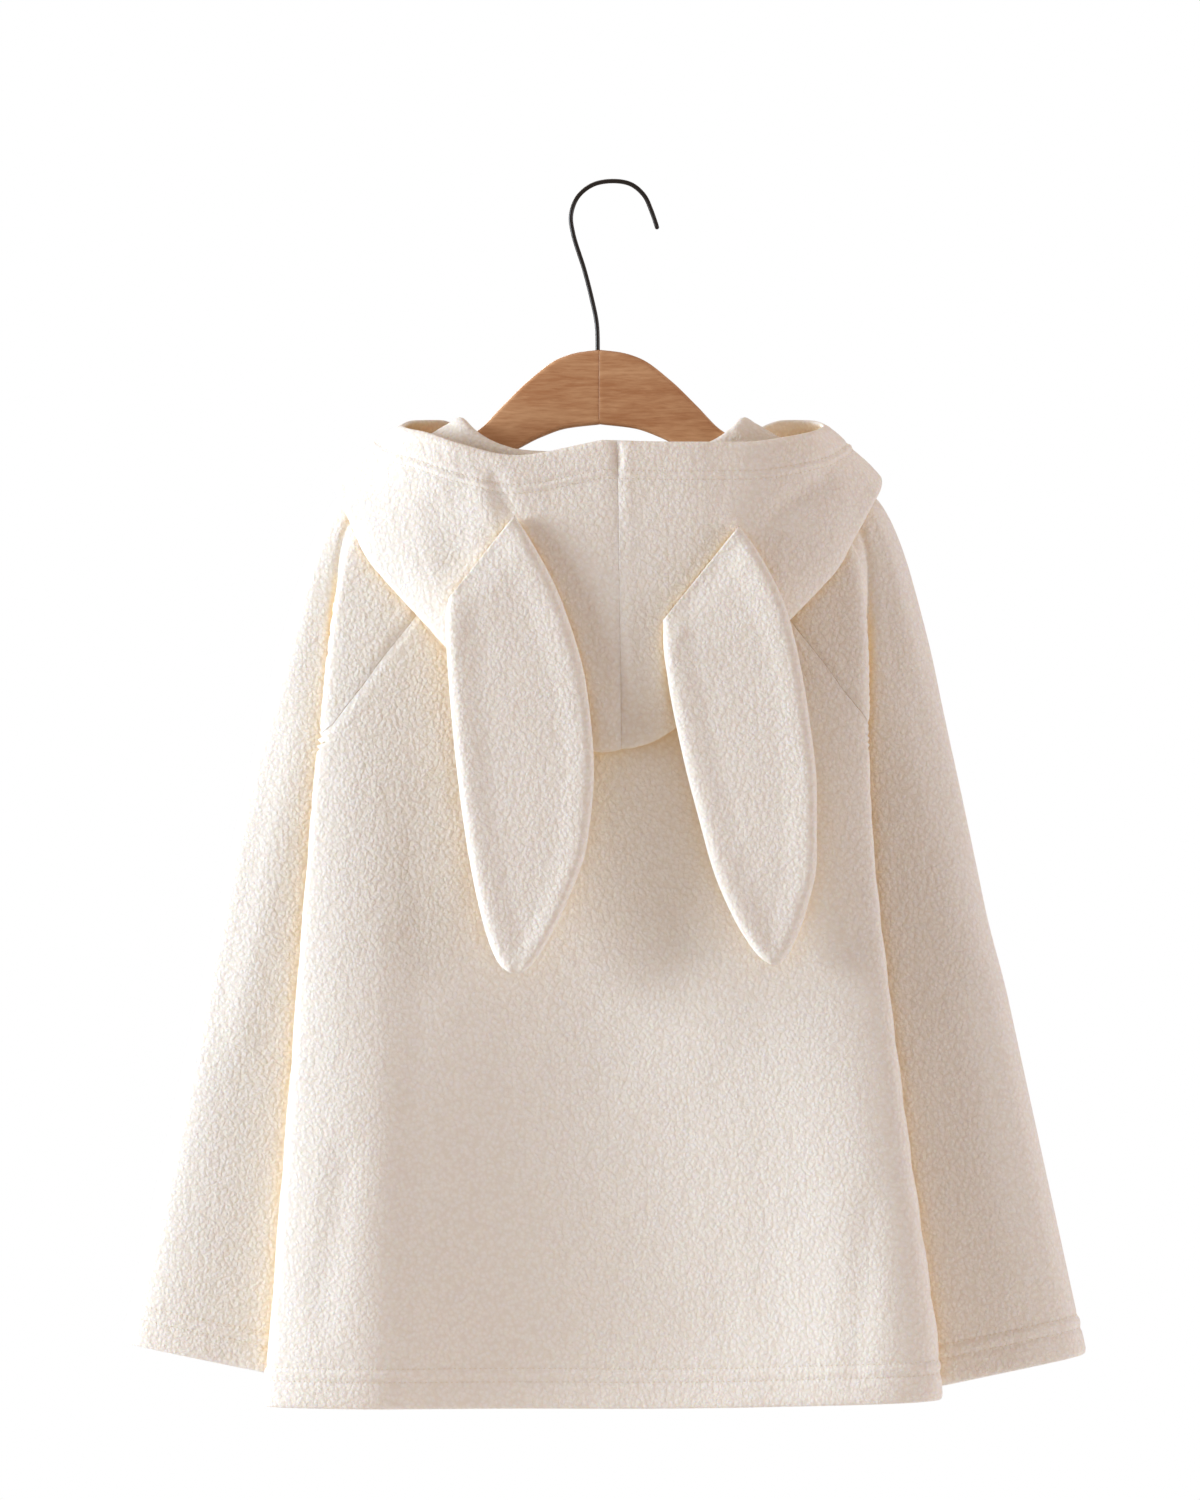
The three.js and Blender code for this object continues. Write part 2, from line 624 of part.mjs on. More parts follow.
// One of the two cut pieces of an ear: flat against the other, domed outside.
function earPiece(ear, face) {
  const positions = [];
  const index = [];
  const { rows, columns, half, rim, crowd, root, tip } = earShape;
  const width = columns + 1;
  const layer = (rows + 1) * width;
  for (const outside of [0, 1]) {
    for (let r = 0; r <= rows; r += 1) {
      const along = r / rows;
      const place = lerp(along, smooth(along), crowd);
      const rootSwell = Math.min(1, root.least + along * root.rate);
      const swell = rootSwell * Math.min(1, tip.least + (1 - along) * tip.rate);
      for (let c = 0; c <= columns; c += 1) {
        const across = c / columns;
        const x = lerp(read(ear, 'leftX', place), read(ear, 'rightX', place), across);
        const z = lerp(read(ear, 'leftZ', place), read(ear, 'rightZ', place), across);
        const dome = rim + (half - rim) * swell * Math.sqrt(Math.max(0, 1 - (2 * across - 1) ** 2));
        const middle = lerp(ear.rootY, ear.tipY, smooth(place)) + ear.tilt * (x - ear.rightX[0]);
        positions.push(x, middle + face * (seamGap / 2 + outside * dome), z);
      }
    }
  }
  const quad = (a, b, c, d) => index.push(a, b, c, a, c, d);
  for (let r = 0; r < rows; r += 1) {
    for (let c = 0; c < columns; c += 1) {
      const a = r * width + c;
      quad(a, a + width, a + width + 1, a + 1);
      quad(layer + a, layer + a + 1, layer + a + width + 1, layer + a + width);
    }
    const a = r * width;
    const b = a + columns;
    quad(a + width, a, layer + a, layer + a + width);
    quad(b, b + width, layer + b + width, layer + b);
  }
  for (let c = 0; c < columns; c += 1) {
    const low = rows * width + c;
    quad(c, c + 1, layer + c + 1, layer + c);
    quad(low + 1, low, layer + low, layer + low + 1);
  }
  return outward(positions, index);
}

// ---- hanger ----

function toManifold(geometry) {
  const bare = geometry.index ? geometry.toNonIndexed() : geometry.clone();
  bare.deleteAttribute('normal');
  bare.deleteAttribute('uv');
  const merged = mergeVertices(bare, weld);
  return new wasm.Manifold(new wasm.Mesh({
    numProp: 3,
    vertProperties: new Float32Array(merged.attributes.position.array),
    triVerts: new Uint32Array(merged.index.array),
  }));
}

function fromManifold(solid) {
  const mesh = solid.getMesh();
  return outward(Array.from(mesh.vertProperties), Array.from(mesh.triVerts));
}

// One arm of the bar, with its half of the hook's socket.
function barArm(side) {
  const end = barTop.at[barTop.at.length - 1];
  const xs = Array.from({ length: bar.steps + 1 }, (_, k) => lerp(seamGap / 2, end, k / bar.steps));
  const top = xs.map((x) => new THREE.Vector2(side * x, read(barTop, 'z', x)));
  const bottom = xs.map((x) => new THREE.Vector2(side * x, read(barBottom, 'z', x))).reverse();
  const outline = new THREE.Shape([...top, ...bottom]);
  const geometry = new THREE.ExtrudeGeometry(outline, {
    depth: bar.thick - 2 * bar.chamfer,
    bevelThickness: bar.chamfer,
    bevelSize: bar.chamfer,
    bevelOffset: -bar.chamfer,
    bevelSegments: bar.chamferSteps,
    steps: 1,
  });
  geometry.rotateX(Math.PI / 2);
  geometry.translate(0, bar.thick / 2 - bar.chamfer, 0);
  const socket = new THREE.CylinderGeometry(wire.socket, wire.socket, 2 * wire.depth, wire.socketSides);
  socket.rotateX(Math.PI / 2);
  socket.translate(hookPath[hookPath.length - 1][0] - hangerX, 0, barTop.z[0]);
  return fromManifold(toManifold(geometry).subtract(toManifold(socket)));
}

function hookWire() {
  const path = new THREE.CatmullRomCurve3(hookPath.map(([x, z]) => new THREE.Vector3(x, 0, z)));
  const ring = Array.from({ length: wire.sides }, (_, k) => {
    const angle = (2 * Math.PI * k) / wire.sides;
    return new THREE.Vector2(Math.cos(angle) * wire.radius, Math.sin(angle) * wire.radius);
  });
  const geometry = new THREE.ExtrudeGeometry(new THREE.Shape(ring), { steps: wire.steps, extrudePath: path });
  return fromManifold(toManifold(geometry));
}

// ---- the object ----

const group = new THREE.Group();
const garment = new THREE.Group();
garment.position.x = garmentX;
const hanger = new THREE.Group();
hanger.position.x = hangerX;
group.add(garment, hanger);

function add(parent, name, geometry, material) {
  const mesh = new THREE.Mesh(geometry, material);
  mesh.name = name;
  parent.add(mesh);
}

add(garment, 'back', clothSolid(bodyRows(backFace), clothWall), fleece);
add(garment, 'front', clothSolid(bodyRows(frontFace), clothWall), fleece);
add(garment, 'sleeve_left', clothSolid(sleeveRows(-1), clothWall), fleece);
add(garment, 'sleeve_right', clothSolid(sleeveRows(1), clothWall), fleece);
const halves = hoodHalves();
add(garment, 'hood_left', clothSolid(halves.left, clothWall), fleece);
add(garment, 'hood_right', clothSolid(halves.right, clothWall), fleece);
for (const ear of ears) {
  add(garment, `${ear.name}_outer`, earPiece(ear, -1), fleece);
  add(garment, `${ear.name}_under`, earPiece(ear, 1), fleece);
}
add(hanger, 'hanger_bar_left', barArm(-1), beech);
add(hanger, 'hanger_bar_right', barArm(1), beech);
add(group, 'hanger_hook', hookWire(), blackWire);

export default group;
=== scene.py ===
# Child's hooded fleece pullover with two long rabbit ears, on a beech hanger with a black wire hook.
# Sizes are in millimetres and become metres when a mesh is made. The pullover's back faces -Y.
import math

import bpy
import numpy as np
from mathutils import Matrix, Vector


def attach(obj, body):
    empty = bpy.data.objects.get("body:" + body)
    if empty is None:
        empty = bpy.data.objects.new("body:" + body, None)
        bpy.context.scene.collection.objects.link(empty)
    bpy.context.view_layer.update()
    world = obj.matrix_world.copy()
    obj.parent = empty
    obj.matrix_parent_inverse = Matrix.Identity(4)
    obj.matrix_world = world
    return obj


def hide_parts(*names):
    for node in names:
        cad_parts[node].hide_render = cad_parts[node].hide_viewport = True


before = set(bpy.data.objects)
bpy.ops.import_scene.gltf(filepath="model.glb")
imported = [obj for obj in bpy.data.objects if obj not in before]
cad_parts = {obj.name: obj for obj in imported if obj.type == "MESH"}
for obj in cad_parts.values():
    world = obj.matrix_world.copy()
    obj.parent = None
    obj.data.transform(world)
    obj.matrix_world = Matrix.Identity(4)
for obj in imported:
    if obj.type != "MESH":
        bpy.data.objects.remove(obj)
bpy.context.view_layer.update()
mm = 0.001
scene = bpy.context.scene

clothWall = 2.6
sewnGap = 0.08  # between pieces that are sewn or joined
garmentX = -5.4  # the pullover and the hanger hang a little left of the hook's crown
hangerX = -6.6
underarm = 1
walkSteps = 480  # steps in which a section's length is measured

# Levels run down the garment: 0 neckline, 1 underarm, 2 hem and cuffs.
outerEdge = {
    "at": [0, 0.25, 0.5, 0.58, 0.65, 0.8, 1, 1.5, 2],
    "leftX": [84, 114, 147, 159, 171, 188.5, 209.5, 248.5, 286.5],
    "rightX": [84, 115, 151, 164.5, 176.5, 192, 211, 250, 289],
    "y": [2, 1, 0, 0, 0, 0, 0, 1, 2],
    "z": [-149, -164, -180.5, -191, -213, -265, -345, -522, -697],
    "power": [2.6, 2.6, 2.7, 2.8, 2.9, 3, 3, 3, 3],
    "lift": [4.5, 3.2, 2.4, 2.2, 2, 2, 2, 2, 2],
}
backFace = {
    "side": -1,
    "at": [0, 0.25, 0.5, 0.65, 0.8, 1, 1.5, 2],
    "depth": [24, 28, 31, 32, 33, 34, 38, 42],
    "centreZ": [-172, -222, -272, -302, -332, -372, -552.5, -733],
    "leftFold": [60, 90, 130, 155, 163, 170, 184, 199],
    "rightFold": [60, 90, 130, 154, 158, 159, 175, 197],
    "flange": [13, 13, 13, 13, 13, 13, 14, 16],
    "raglan": [57, 79, 102, 120, 143.5, 172, 172, 172],
}
frontFace = {
    "side": 1,
    "at": [0, 0.25, 0.5, 0.65, 0.8, 1, 1.5, 2],
    "depth": [38, 37, 36, 35, 34, 34, 37, 40],
    "centreZ": [-200, -243, -286, -311.8, -337.6, -372, -552.5, -733],
    "leftFold": [58, 90, 130, 152, 156, 160, 172, 186],
    "rightFold": [58, 90, 130, 151, 154, 156, 168, 184],
    "flange": [13, 13, 13, 13, 13, 13, 14, 15],
    "raglan": [50, 72, 98, 117, 140, 168, 168, 168],
}
parting = {
    "at": [0, 1, 1.05, 1.1, 1.5, 2],
    "x": [140, 140, 140.5, 141, 145, 151],
    "room": [0.2, 0.2, 2.6, 3.8, 5, 6],
}
sleeveTube = {
    "at": [0, 1, 1.5, 2],
    "half": [12.5, 12.5, 16, 18],
    "leftSlope": [0.216, 0.216, 0.22, 0.205],
    "rightSlope": [0.216, 0.216, 0.22, 0.21],
    "leftDrop": [0, 0, 0, -2],
    "rightDrop": [0, 0, 2, 5.3],
}
bodyRise = {"at": [1, 1.1, 1.5, 2], "left": [27, 22, 8, 1.8], "right": [27, 22, 9, 6]}
foldStart = 0.46
foldGrowth = 1.4
sideFold = {
    "flat": 17,
    "flatDrop": 1,
    "under": 11,
    "fall": 4,
    "valley": 2.3,
    "sleeveIn": 9,
    "sleeveInShare": 0.8,
    "sleeveFull": 0.4,
    "edgeIn": 8,
    "edgeInShare": 0.74,
}
underarmSeam = {"level": 0.93, "reach": 0.17, "extra": 0.15}
turnStart = 0.9  # where the raglan seam turns into the side fold
sleeveTurn = 0.12  # levels over which the sleeve's heights become a straight slant
squeeze = {"start": 0.5, "over": 0.3, "reach": 10}
plainShare = np.array([0, 0.14, 0.28, 0.42, 0.56, 0.7, 0.84])
valleyIndex = 5

# Soft upright folds of the body: middle at the underarm and at the hem, width, and depth at the hem.
bodyFoldStart = 0.75
bodyFoldFade = {"end": 150, "over": 60}
bodyFolds = {
    -1: [
        {"topX": -20, "hemX": -40, "width": 78, "depth": 9},
        {"topX": -112, "hemX": -122, "width": 15, "depth": 2.2},
        {"topX": 62, "hemX": 78, "width": 20, "depth": -2.4},
    ],
    1: [
        {"topX": 15, "hemX": 30, "width": 70, "depth": 8},
        {"topX": -88, "hemX": -96, "width": 18, "depth": 2.4},
    ],
}


def lerp(a, b, share):
    return a + (b - a) * share


def smooth(share):
    share = np.clip(share, 0, 1)
    return share * share * (3 - 2 * share)


def bump(distance, width):
    return np.exp(-((distance / width) ** 2))


def unit(vectors):
    return vectors / np.maximum(np.linalg.norm(vectors, axis=-1, keepdims=True), 1e-9)


# One column of a table at any places, on a smooth line that never overshoots its rows.
def read(table, name, place):
    at = np.asarray(table["at"], float)
    values = np.asarray(table[name], float)
    place = np.clip(np.asarray(place, float), at[0], at[-1])
    rates = np.diff(values) / np.diff(at)
    product = rates[:-1] * rates[1:]
    total = np.where(product > 0, rates[:-1] + rates[1:], 1)
    inner = np.where(product > 0, 2 * product / total, 0)
    slopes = np.concatenate([rates[:1], inner, rates[-1:]])
    k = np.clip(np.searchsorted(at, place, side="right") - 1, 0, len(at) - 2)
    span = at[k + 1] - at[k]
    u = (place - at[k]) / span
    held = values[k] * (1 + 2 * u) * (1 - u) ** 2 + values[k + 1] * u * u * (3 - 2 * u)
    return held + span * (slopes[k] * u * (1 - u) ** 2 + slopes[k + 1] * u * u * (u - 1))


# Points of centripetal Catmull-Rom curves, one curve for each row of guide points, at shares 0 to 1.
def curveAt(guides, shares, closed=False):
    count = guides.shape[1]
    if closed:
        line = np.concatenate([guides[:, -1:], guides, guides[:, :2]], axis=1)
        segments = count
    else:
        before = 2 * guides[:, :1] - guides[:, 1:2]
        after = 2 * guides[:, -1:] - guides[:, -2:-1]
        line = np.concatenate([before, guides, after], axis=1)
        segments = count - 1
    place = np.clip(shares, 0, 1) * segments
    k = np.minimum(place.astype(int), segments - 1)
    w = (place - k)[..., None]
    p0, p1, p2, p3 = (np.take_along_axis(line, (k + j)[..., None], axis=1) for j in range(4))
    d0, d1, d2 = (np.maximum(np.linalg.norm(b - a, axis=-1, keepdims=True), 1e-6) ** 0.5
                  for a, b in ((p0, p1), (p1, p2), (p2, p3)))
    t1 = ((p1 - p0) / d0 - (p2 - p0) / (d0 + d1) + (p2 - p1) / d1) * d1
    t2 = ((p2 - p1) / d1 - (p3 - p1) / (d1 + d2) + (p3 - p2) / d2) * d1
    return p1 + t1 * w + (3 * (p2 - p1) - 2 * t1 - t2) * w**2 + (2 * (p1 - p2) + t1 + t2) * w**3


# Noise between about -1 and 1 over a sheet's own lengths, with soft cells of the given sizes.
def sheetNoise(u, v, cellU, cellV, seed):
    rows = int(np.ceil(u.max() / cellU - u.min() / cellU)) + 3
    columns = int(np.ceil(v.max() / cellV - v.min() / cellV)) + 3
    lattice = np.random.default_rng(seed).uniform(-1, 1, (rows, columns))
    a = (u - u.min()) / cellU
    b = (v - v.min()) / cellV
    i, j = a.astype(int), b.astype(int)
    s, t = smooth(a - i), smooth(b - j)
    near = lerp(lattice[i, j], lattice[i + 1, j], s)
    far = lerp(lattice[i, j + 1], lattice[i + 1, j + 1], s)
    return lerp(near, far, t)


def sided(side, left, right):
    return left if side < 0 else right


def edgeXAt(level, side):
    return read(outerEdge, sided(side, "leftX", "rightX"), level)


def slopeAt(level, side):
    return read(sleeveTube, sided(side, "leftSlope", "rightSlope"), level)


def dropAt(level, side):
    return read(sleeveTube, sided(side, "leftDrop", "rightDrop"), level)


# Heights across the sleeve: the yoke's at the underarm, then soon on a straight slant.
def sleeveHeights(level, side, x, yokeZ):
    edgeX, edgeZ = edgeXAt(level, side)[:, None], read(outerEdge, "z", level)[:, None]
    slanted = edgeZ - dropAt(level, side)[:, None] - slopeAt(level, side)[:, None] * (edgeX - x)
    return lerp(yokeZ, slanted, smooth((level - underarm) / sleeveTurn)[:, None])


# Heights across the yoke, from the centre line out to the edge.
def yokeHeights(level, side, x, face):
    edgeX, edgeZ = edgeXAt(level, side)[:, None], read(outerEdge, "z", level)[:, None]
    centreZ = read(face, "centreZ", level)[:, None]
    return centreZ + (edgeZ - centreZ) * (x / edgeX) ** read(outerEdge, "lift", level)[:, None]


# Guide points of one face at each level, from the centre line to just inside the outer edge.
def facePoints(level, side, face, part):
    edgeX = edgeXAt(level, side)[:, None]
    edgeY, power = (read(outerEdge, name, level)[:, None] for name in ("y", "power"))
    depth, centreZ, flange = (
        read(face, name, level)[:, None] for name in ("depth", "centreZ", "flange"))
    foldX = read(face, sided(side, "leftFold", "rightFold"), level)[:, None]
    partX, room = (read(parting, name, level)[:, None] for name in ("x", "room"))
    half = read(sleeveTube, "half", level)[:, None]
    below = (level >= underarm)[:, None]
    grown = (np.clip((level - foldStart) / (underarm - foldStart), 0, 1) ** foldGrowth)[:, None]
    grown = grown * (part != "laid")
    bodyX = np.where(below, partX - room, partX)
    sleeveX = np.where(below, partX + room, partX)
    plainX = lerp(foldX, edgeX, plainShare)
    plainY = depth * (1 - (plainX / edgeX) ** power) ** (1 / power)
    foldedX = np.concatenate([
        foldX, foldX - sideFold["under"], bodyX, partX, sleeveX + sideFold["sleeveIn"],
        lerp(sleeveX, edgeX, sideFold["sleeveFull"]), edgeX - sideFold["edgeIn"]], axis=1)
    foldedY = np.concatenate([
        depth - flange / 2, depth - flange, depth - flange - sideFold["fall"],
        sideFold["valley"] + 0 * depth,
        half * sideFold["sleeveInShare"], half, half * sideFold["edgeInShare"]], axis=1)
    flatX = foldX - sideFold["flat"]
    flatY = depth * (1 - (flatX / edgeX) ** power) ** (1 / power)
    x = np.concatenate([0 * depth, flatX, lerp(plainX, foldedX, grown)], axis=1)
    flatY = lerp(flatY, depth - sideFold["flatDrop"], grown)
    y = np.concatenate([depth, flatY, lerp(plainY, foldedY, grown)], axis=1)
    yokeZ = yokeHeights(level, side, x, face)
    sleeveZ = sleeveHeights(level, side, x, yokeZ)
    rise = read(bodyRise, sided(side, "left", "right"), level)[:, None]
    bodyZ = centreZ + rise * (x / edgeXAt(underarm, side)) ** 2
    z = np.where(below, sleeveZ if part == "sleeve" else bodyZ, yokeZ)
    return np.stack([x, face["side"] * y + edgeY * (x / edgeX) ** 2, z], axis=-1)


def edgePoints(level, side):
    lines = [edgeXAt(level, side), read(outerEdge, "y", level), read(outerEdge, "z", level)]
    return np.stack(lines, axis=-1)[:, None]


# A half section from the centre back to the centre front, carried on past both by one mirrored point.
def halfSection(half):
    flip = np.array([-1, 1, 1])
    guides = np.concatenate([half[:, 1:2] * flip, half, half[:, -2:-1] * flip], axis=1)
    count = guides.shape[1] - 1
    last = half.shape[1] / count
    return {"guides": guides, "closed": False, "first": 1 / count, "last": last, "count": count}


def yokeSection(level, side, part="yoke"):
    back = facePoints(level, side, backFace, part)
    front = facePoints(level, side, frontFace, part)[:, ::-1]
    return halfSection(np.concatenate([back, edgePoints(level, side), front], axis=1))


def bodySection(level, side):
    back = facePoints(level, side, backFace, "body")[:, :valleyIndex]
    front = facePoints(level, side, frontFace, "body")[:, :valleyIndex][:, ::-1]
    seam = (back[:, -1:] + front[:, :1]) / 2
    seam[:, 0, 0] = read(parting, "x", level) - read(parting, "room", level)
    return halfSection(np.concatenate([back, seam, front], axis=1))


def sleeveSection(level, side):
    back = facePoints(level, side, backFace, "sleeve")[:, valleyIndex + 1:]
    front = facePoints(level, side, frontFace, "sleeve")[:, valleyIndex + 1:][:, ::-1]
    edge = edgePoints(level, side)
    seam = (back[:, :1] + front[:, -1:]) / 2
    seam[:, 0, 0] = read(parting, "x", level) + read(parting, "room", level)
    for line in (edge, seam):
        x = line[:, :, 0]
        line[:, :, 2] = sleeveHeights(level, side, x, yokeHeights(level, side, x, backFace))
    guides = np.concatenate([seam, back, edge, front], axis=1)
    return {"guides": guides, "closed": True, "first": 0, "last": 1, "count": guides.shape[1]}


# Shares of each section with the lengths walked along the cloth to them.
def walk(section):
    rows = section["guides"].shape[0]
    shares = np.tile(np.linspace(section["first"], section["last"], walkSteps + 1), (rows, 1))
    points = curveAt(section["guides"], shares, section["closed"])
    steps = np.linalg.norm(np.diff(points, axis=1), axis=-1)
    lengths = np.concatenate([np.zeros((rows, 1)), np.cumsum(steps, axis=1)], axis=1)
    return shares, lengths


def pointsAtLengths(section, wanted):
    shares, lengths = walk(section)
    found = np.array([np.interp(w, length, share) for w, length, share in zip(wanted, lengths, shares)])
    return curveAt(section["guides"], found, section["closed"])


def lengthsAt(section, share):
    shares, lengths = walk(section)
    return np.array([np.interp(share, s, length) for s, length in zip(shares, lengths)])


# Length from the centre line to the raglan seam, which ends at the bottom of the side fold.
def raglanLength(level, face, section):
    total = walk(section)[1][:, -1]
    if face is backFace:
        toValley = lengthsAt(section, section["first"] + valleyIndex / section["count"])
    else:
        toValley = total - lengthsAt(section, section["last"] - valleyIndex / section["count"])
    turn = np.clip((level - turnStart) / (underarm - turnStart), 0, 1) ** 2
    return lerp(read(face, "raglan", level), toValley, turn)


def seamRoom(level):
    near = np.clip(1 - np.abs(level - underarmSeam["level"]) / underarmSeam["reach"], 0, 1)
    return (sewnGap + underarmSeam["extra"] * smooth(near)) / 2


# Shares 0 to 1 with extra ones close to each end, where a wall's edge is rounded.
rimSteps = np.array([0, 0.35, 0.9, 1.7])


def spacedLengths(starts, ends, count, roundStart=True):
    near = rimSteps if roundStart else rimSteps[:1]
    body = np.linspace(0, 1, count)[None, :]
    low = starts[:, None] + 2 * near[-1]
    high = ends[:, None] - 2 * rimSteps[-1]
    middle = lerp(low, high, body)
    first = starts[:, None] + near[None, :]
    last = ends[:, None] - rimSteps[None, ::-1]
    return np.concatenate([first, middle if roundStart else middle[:, 1:], last], axis=1)


# Millimetres down the yoke and the body, in the hem, and along half a body and a sleeve.
gridPlan = {
    "yoke": 200,
    "body": 361,
    "evenBody": 330,
    "hem": 30,
    "hemRows": 24,
    "halfBody": 300,
    "sleeve": 270,
}
hemEdge = 3


# Levels of the grid's rows: even down the garment, closer together in the hem.
def gridLevels(pitch):
    neck = rimSteps / gridPlan["yoke"]
    yoke = np.linspace(0, 0.998, int(gridPlan["yoke"] / pitch))
    hemShare = gridPlan["hem"] / gridPlan["body"]
    body = np.linspace(1, 2 - hemShare, int(gridPlan["evenBody"] / pitch), endpoint=False)
    hem = np.linspace(gridPlan["hem"], hemEdge, gridPlan["hemRows"])
    hem = 2 - np.concatenate([hem, rimSteps[::-1]]) / gridPlan["body"]
    return np.concatenate([neck, yoke[1:], body, hem])


# The cloth's own move towards the middle plane in its soft upright folds.
def foldMove(points, level, side):
    x = points[..., 0]
    move = np.zeros_like(x)
    for fold in bodyFolds[side]:
        middle = lerp(fold["topX"], fold["hemX"], np.clip(level - underarm, 0, 1))[:, None]
        move += fold["depth"] * bump(x - middle, fold["width"])
    inside = smooth((bodyFoldFade["end"] - np.abs(x)) / bodyFoldFade["over"])
    return move * smooth(level - bodyFoldStart)[:, None] * inside


# Outward directions of a grid of points, which faces the given way at one place, told as shares of it.
def gridNormals(points, place, way):
    normals = unit(np.cross(np.gradient(points, axis=0), np.gradient(points, axis=1)))
    row, column = (int(share * count) for share, count in zip(place, points.shape))
    return normals * np.sign(normals[row, column] @ np.asarray(way, float))


# Lengths of the columns from the centre line: even ones that the raglan seam squeezes where it cuts in.
def bodyLengths(level, ends, widest, count):
    lengths = spacedLengths(0 * ends, ends, count, roundStart=False)
    inner = slice(0, -len(rimSteps))
    full = lerp(ends, widest, smooth((level - squeeze["start"]) / squeeze["over"]))[:, None]
    even = lengths[:, inner] / lengths[:, -len(rimSteps) - 1:-len(rimSteps)] * full
    last = lengths[:, -len(rimSteps) - 1:-len(rimSteps)]
    near = last - squeeze["reach"]
    lengths[:, inner] = np.where(even > near, near + (even - near) / (full - near) * (last - near), even)
    return lengths


def bodyGrid(face, pitch):
    levels = gridLevels(pitch)
    above = levels < underarm
    columns = int(gridPlan["halfBody"] / pitch)
    halves = []
    for side in (-1, 1):
        parts = []
        for part, section in ((~above, bodySection), (above, yokeSection)):
            cut = section(levels[part], side)
            shares, lengths = walk(cut)
            if section is yokeSection:
                reach = raglanLength(levels[part], face, cut)
            else:
                middle = lengthsAt(cut, (cut["first"] + cut["last"]) / 2)
                reach = middle if face is backFace else lengths[:, -1] - middle
            ends = reach - seamRoom(levels[part])
            widest = ends if section is bodySection else widest[0]
            wanted = bodyLengths(levels[part], ends, widest, columns)
            if face is frontFace:
                wanted = lengths[:, -1:] - wanted
            parts.insert(0, pointsAtLengths(cut, wanted))
        halves.append(np.concatenate(parts, axis=0) * np.array([side, 1, 1]))
    full = np.concatenate([halves[0][:, :0:-1], halves[1]], axis=1)
    full[..., 1] -= face["side"] * foldMove(full, levels, face["side"])
    return full


def sleeveGrid(side, pitch):
    levels = gridLevels(pitch)
    above = levels < underarm
    parts = []
    yoke = yokeSection(levels[above], side)
    total = walk(yoke)[1][:, -1]
    room = seamRoom(levels[above])
    starts = raglanLength(levels[above], backFace, yoke) + room
    ends = total - raglanLength(levels[above], frontFace, yoke) - room
    columns = int(gridPlan["sleeve"] / pitch)
    parts.append(pointsAtLengths(yoke, spacedLengths(starts, ends, columns)))
    tube = sleeveSection(levels[~above], side)
    room = seamRoom(levels[~above])
    parts.append(pointsAtLengths(tube, spacedLengths(room, walk(tube)[1][:, -1] - room, columns)))
    return np.concatenate(parts, axis=0) * np.array([side, 1, 1])


# The yoke's surface over levels and places round it, for what lies on it and bridges its folds.
yokeLevels = np.linspace(0, 0.97, 195)
yokePlaces = np.linspace(0, 1, 241)
yokeGrids, yokeWays = [], []
for side in (-1, 1):
    yokeCut = yokeSection(yokeLevels, side, "laid")
    yokeHalf = pointsAtLengths(yokeCut, walk(yokeCut)[1][:, -1:] * yokePlaces)
    yokeGrids.append(yokeHalf)
    yokeWays.append(gridNormals(yokeHalf, (0.31, 0.083), (0, -1, 0)))
yokeGrids, yokeWays = np.array(yokeGrids), np.array(yokeWays)


def overYoke(level, place, distance):
    half = (place >= 0).astype(int)
    row = np.clip(level / yokeLevels[-1], 0, 1) * (len(yokeLevels) - 1)
    column = np.abs(place) * (len(yokePlaces) - 1)
    i = np.minimum(row.astype(int), len(yokeLevels) - 2)
    j = np.minimum(column.astype(int), len(yokePlaces) - 2)
    s, t = (row - i)[:, None], (column - j)[:, None]

    def mix(grids):
        near = lerp(grids[half, i, j], grids[half, i + 1, j], s)
        return lerp(near, lerp(grids[half, i, j + 1], grids[half, i + 1, j + 1], s), t)

    found = mix(yokeGrids) + unit(mix(yokeWays)) * np.reshape(distance, (-1, 1))
    return found * np.stack([np.where(place < 0, -1, 1), 1 + 0 * place, 1 + 0 * place], axis=-1)


# The hood: places run round the neckline, 0 centre back and 1 centre front.
hood = {
    "seamShift": 0.026,
    "start": 0.8,
    "neck": [2, 2.4],
    "neckUp": 0.5,
    "neckRise": 0.65,
    "away": 2.4,
    "neckStep": 0.03,
    "layLevel": 0.045,
    "layShare": 0.3,
    "layRoom": 0.6,
    "layers": [0.5, 0.9],
    "swellAt": 0.6,
    "length": 330,
    "evenLength": 300,
    "hem": 27,
    "hemRows": 24,
}
outerSwell = [(0.14, 0.8), (0.45, 1), (0.8, 0.6)]
hoodRoll = {
    "at": [0, 0.25, 0.4, 0.49, 0.6, 0.8, 1],
    "rise": [9, 8, 6, 5, 6, 8, 8],
    "lie": [5, 5, 6, 6.5, 6, 5, 5],
    "turn": [7, 7, 6, 4, 5, 6, 6],
    "bulge": [10, 9, 5, 2, 3, 5, 3],
}
hoodDrop = {
    "at": [0, 0.06, 0.11, 0.25, 0.38, 0.49, 0.62, 0.75, 0.88, 1],
    "right": [0.845, 0.83, 0.79, 0.66, 0.6, 0.55, 0.42, 0.28, 0.16, 0.11],
    "left": [0.845, 0.83, 0.79, 0.66, 0.6, 0.54, 0.41, 0.28, 0.16, 0.11],
}
faceEdge = {
    "at": [0, 0.12, 0.25, 0.35, 0.42, 0.49, 0.56, 0.64, 0.75, 0.87, 1],
    "y": [-56, -56, -52, -42, -28, -8, 12, 28, 42, 51, 54],
    "rightX": [0, 42, 83, 113, 128, 132, 126, 110, 82, 44, 0],
    "rightZ": [-156, -157, -157, -153, -149, -146, -142, -141, -152, -178, -195],
    "leftX": [0, 50, 84, 104, 116, 119, 113, 97, 77, 44, 0],
    "leftZ": [-156, -165, -158, -151, -148, -146, -142, -141, -152, -178, -195],
}


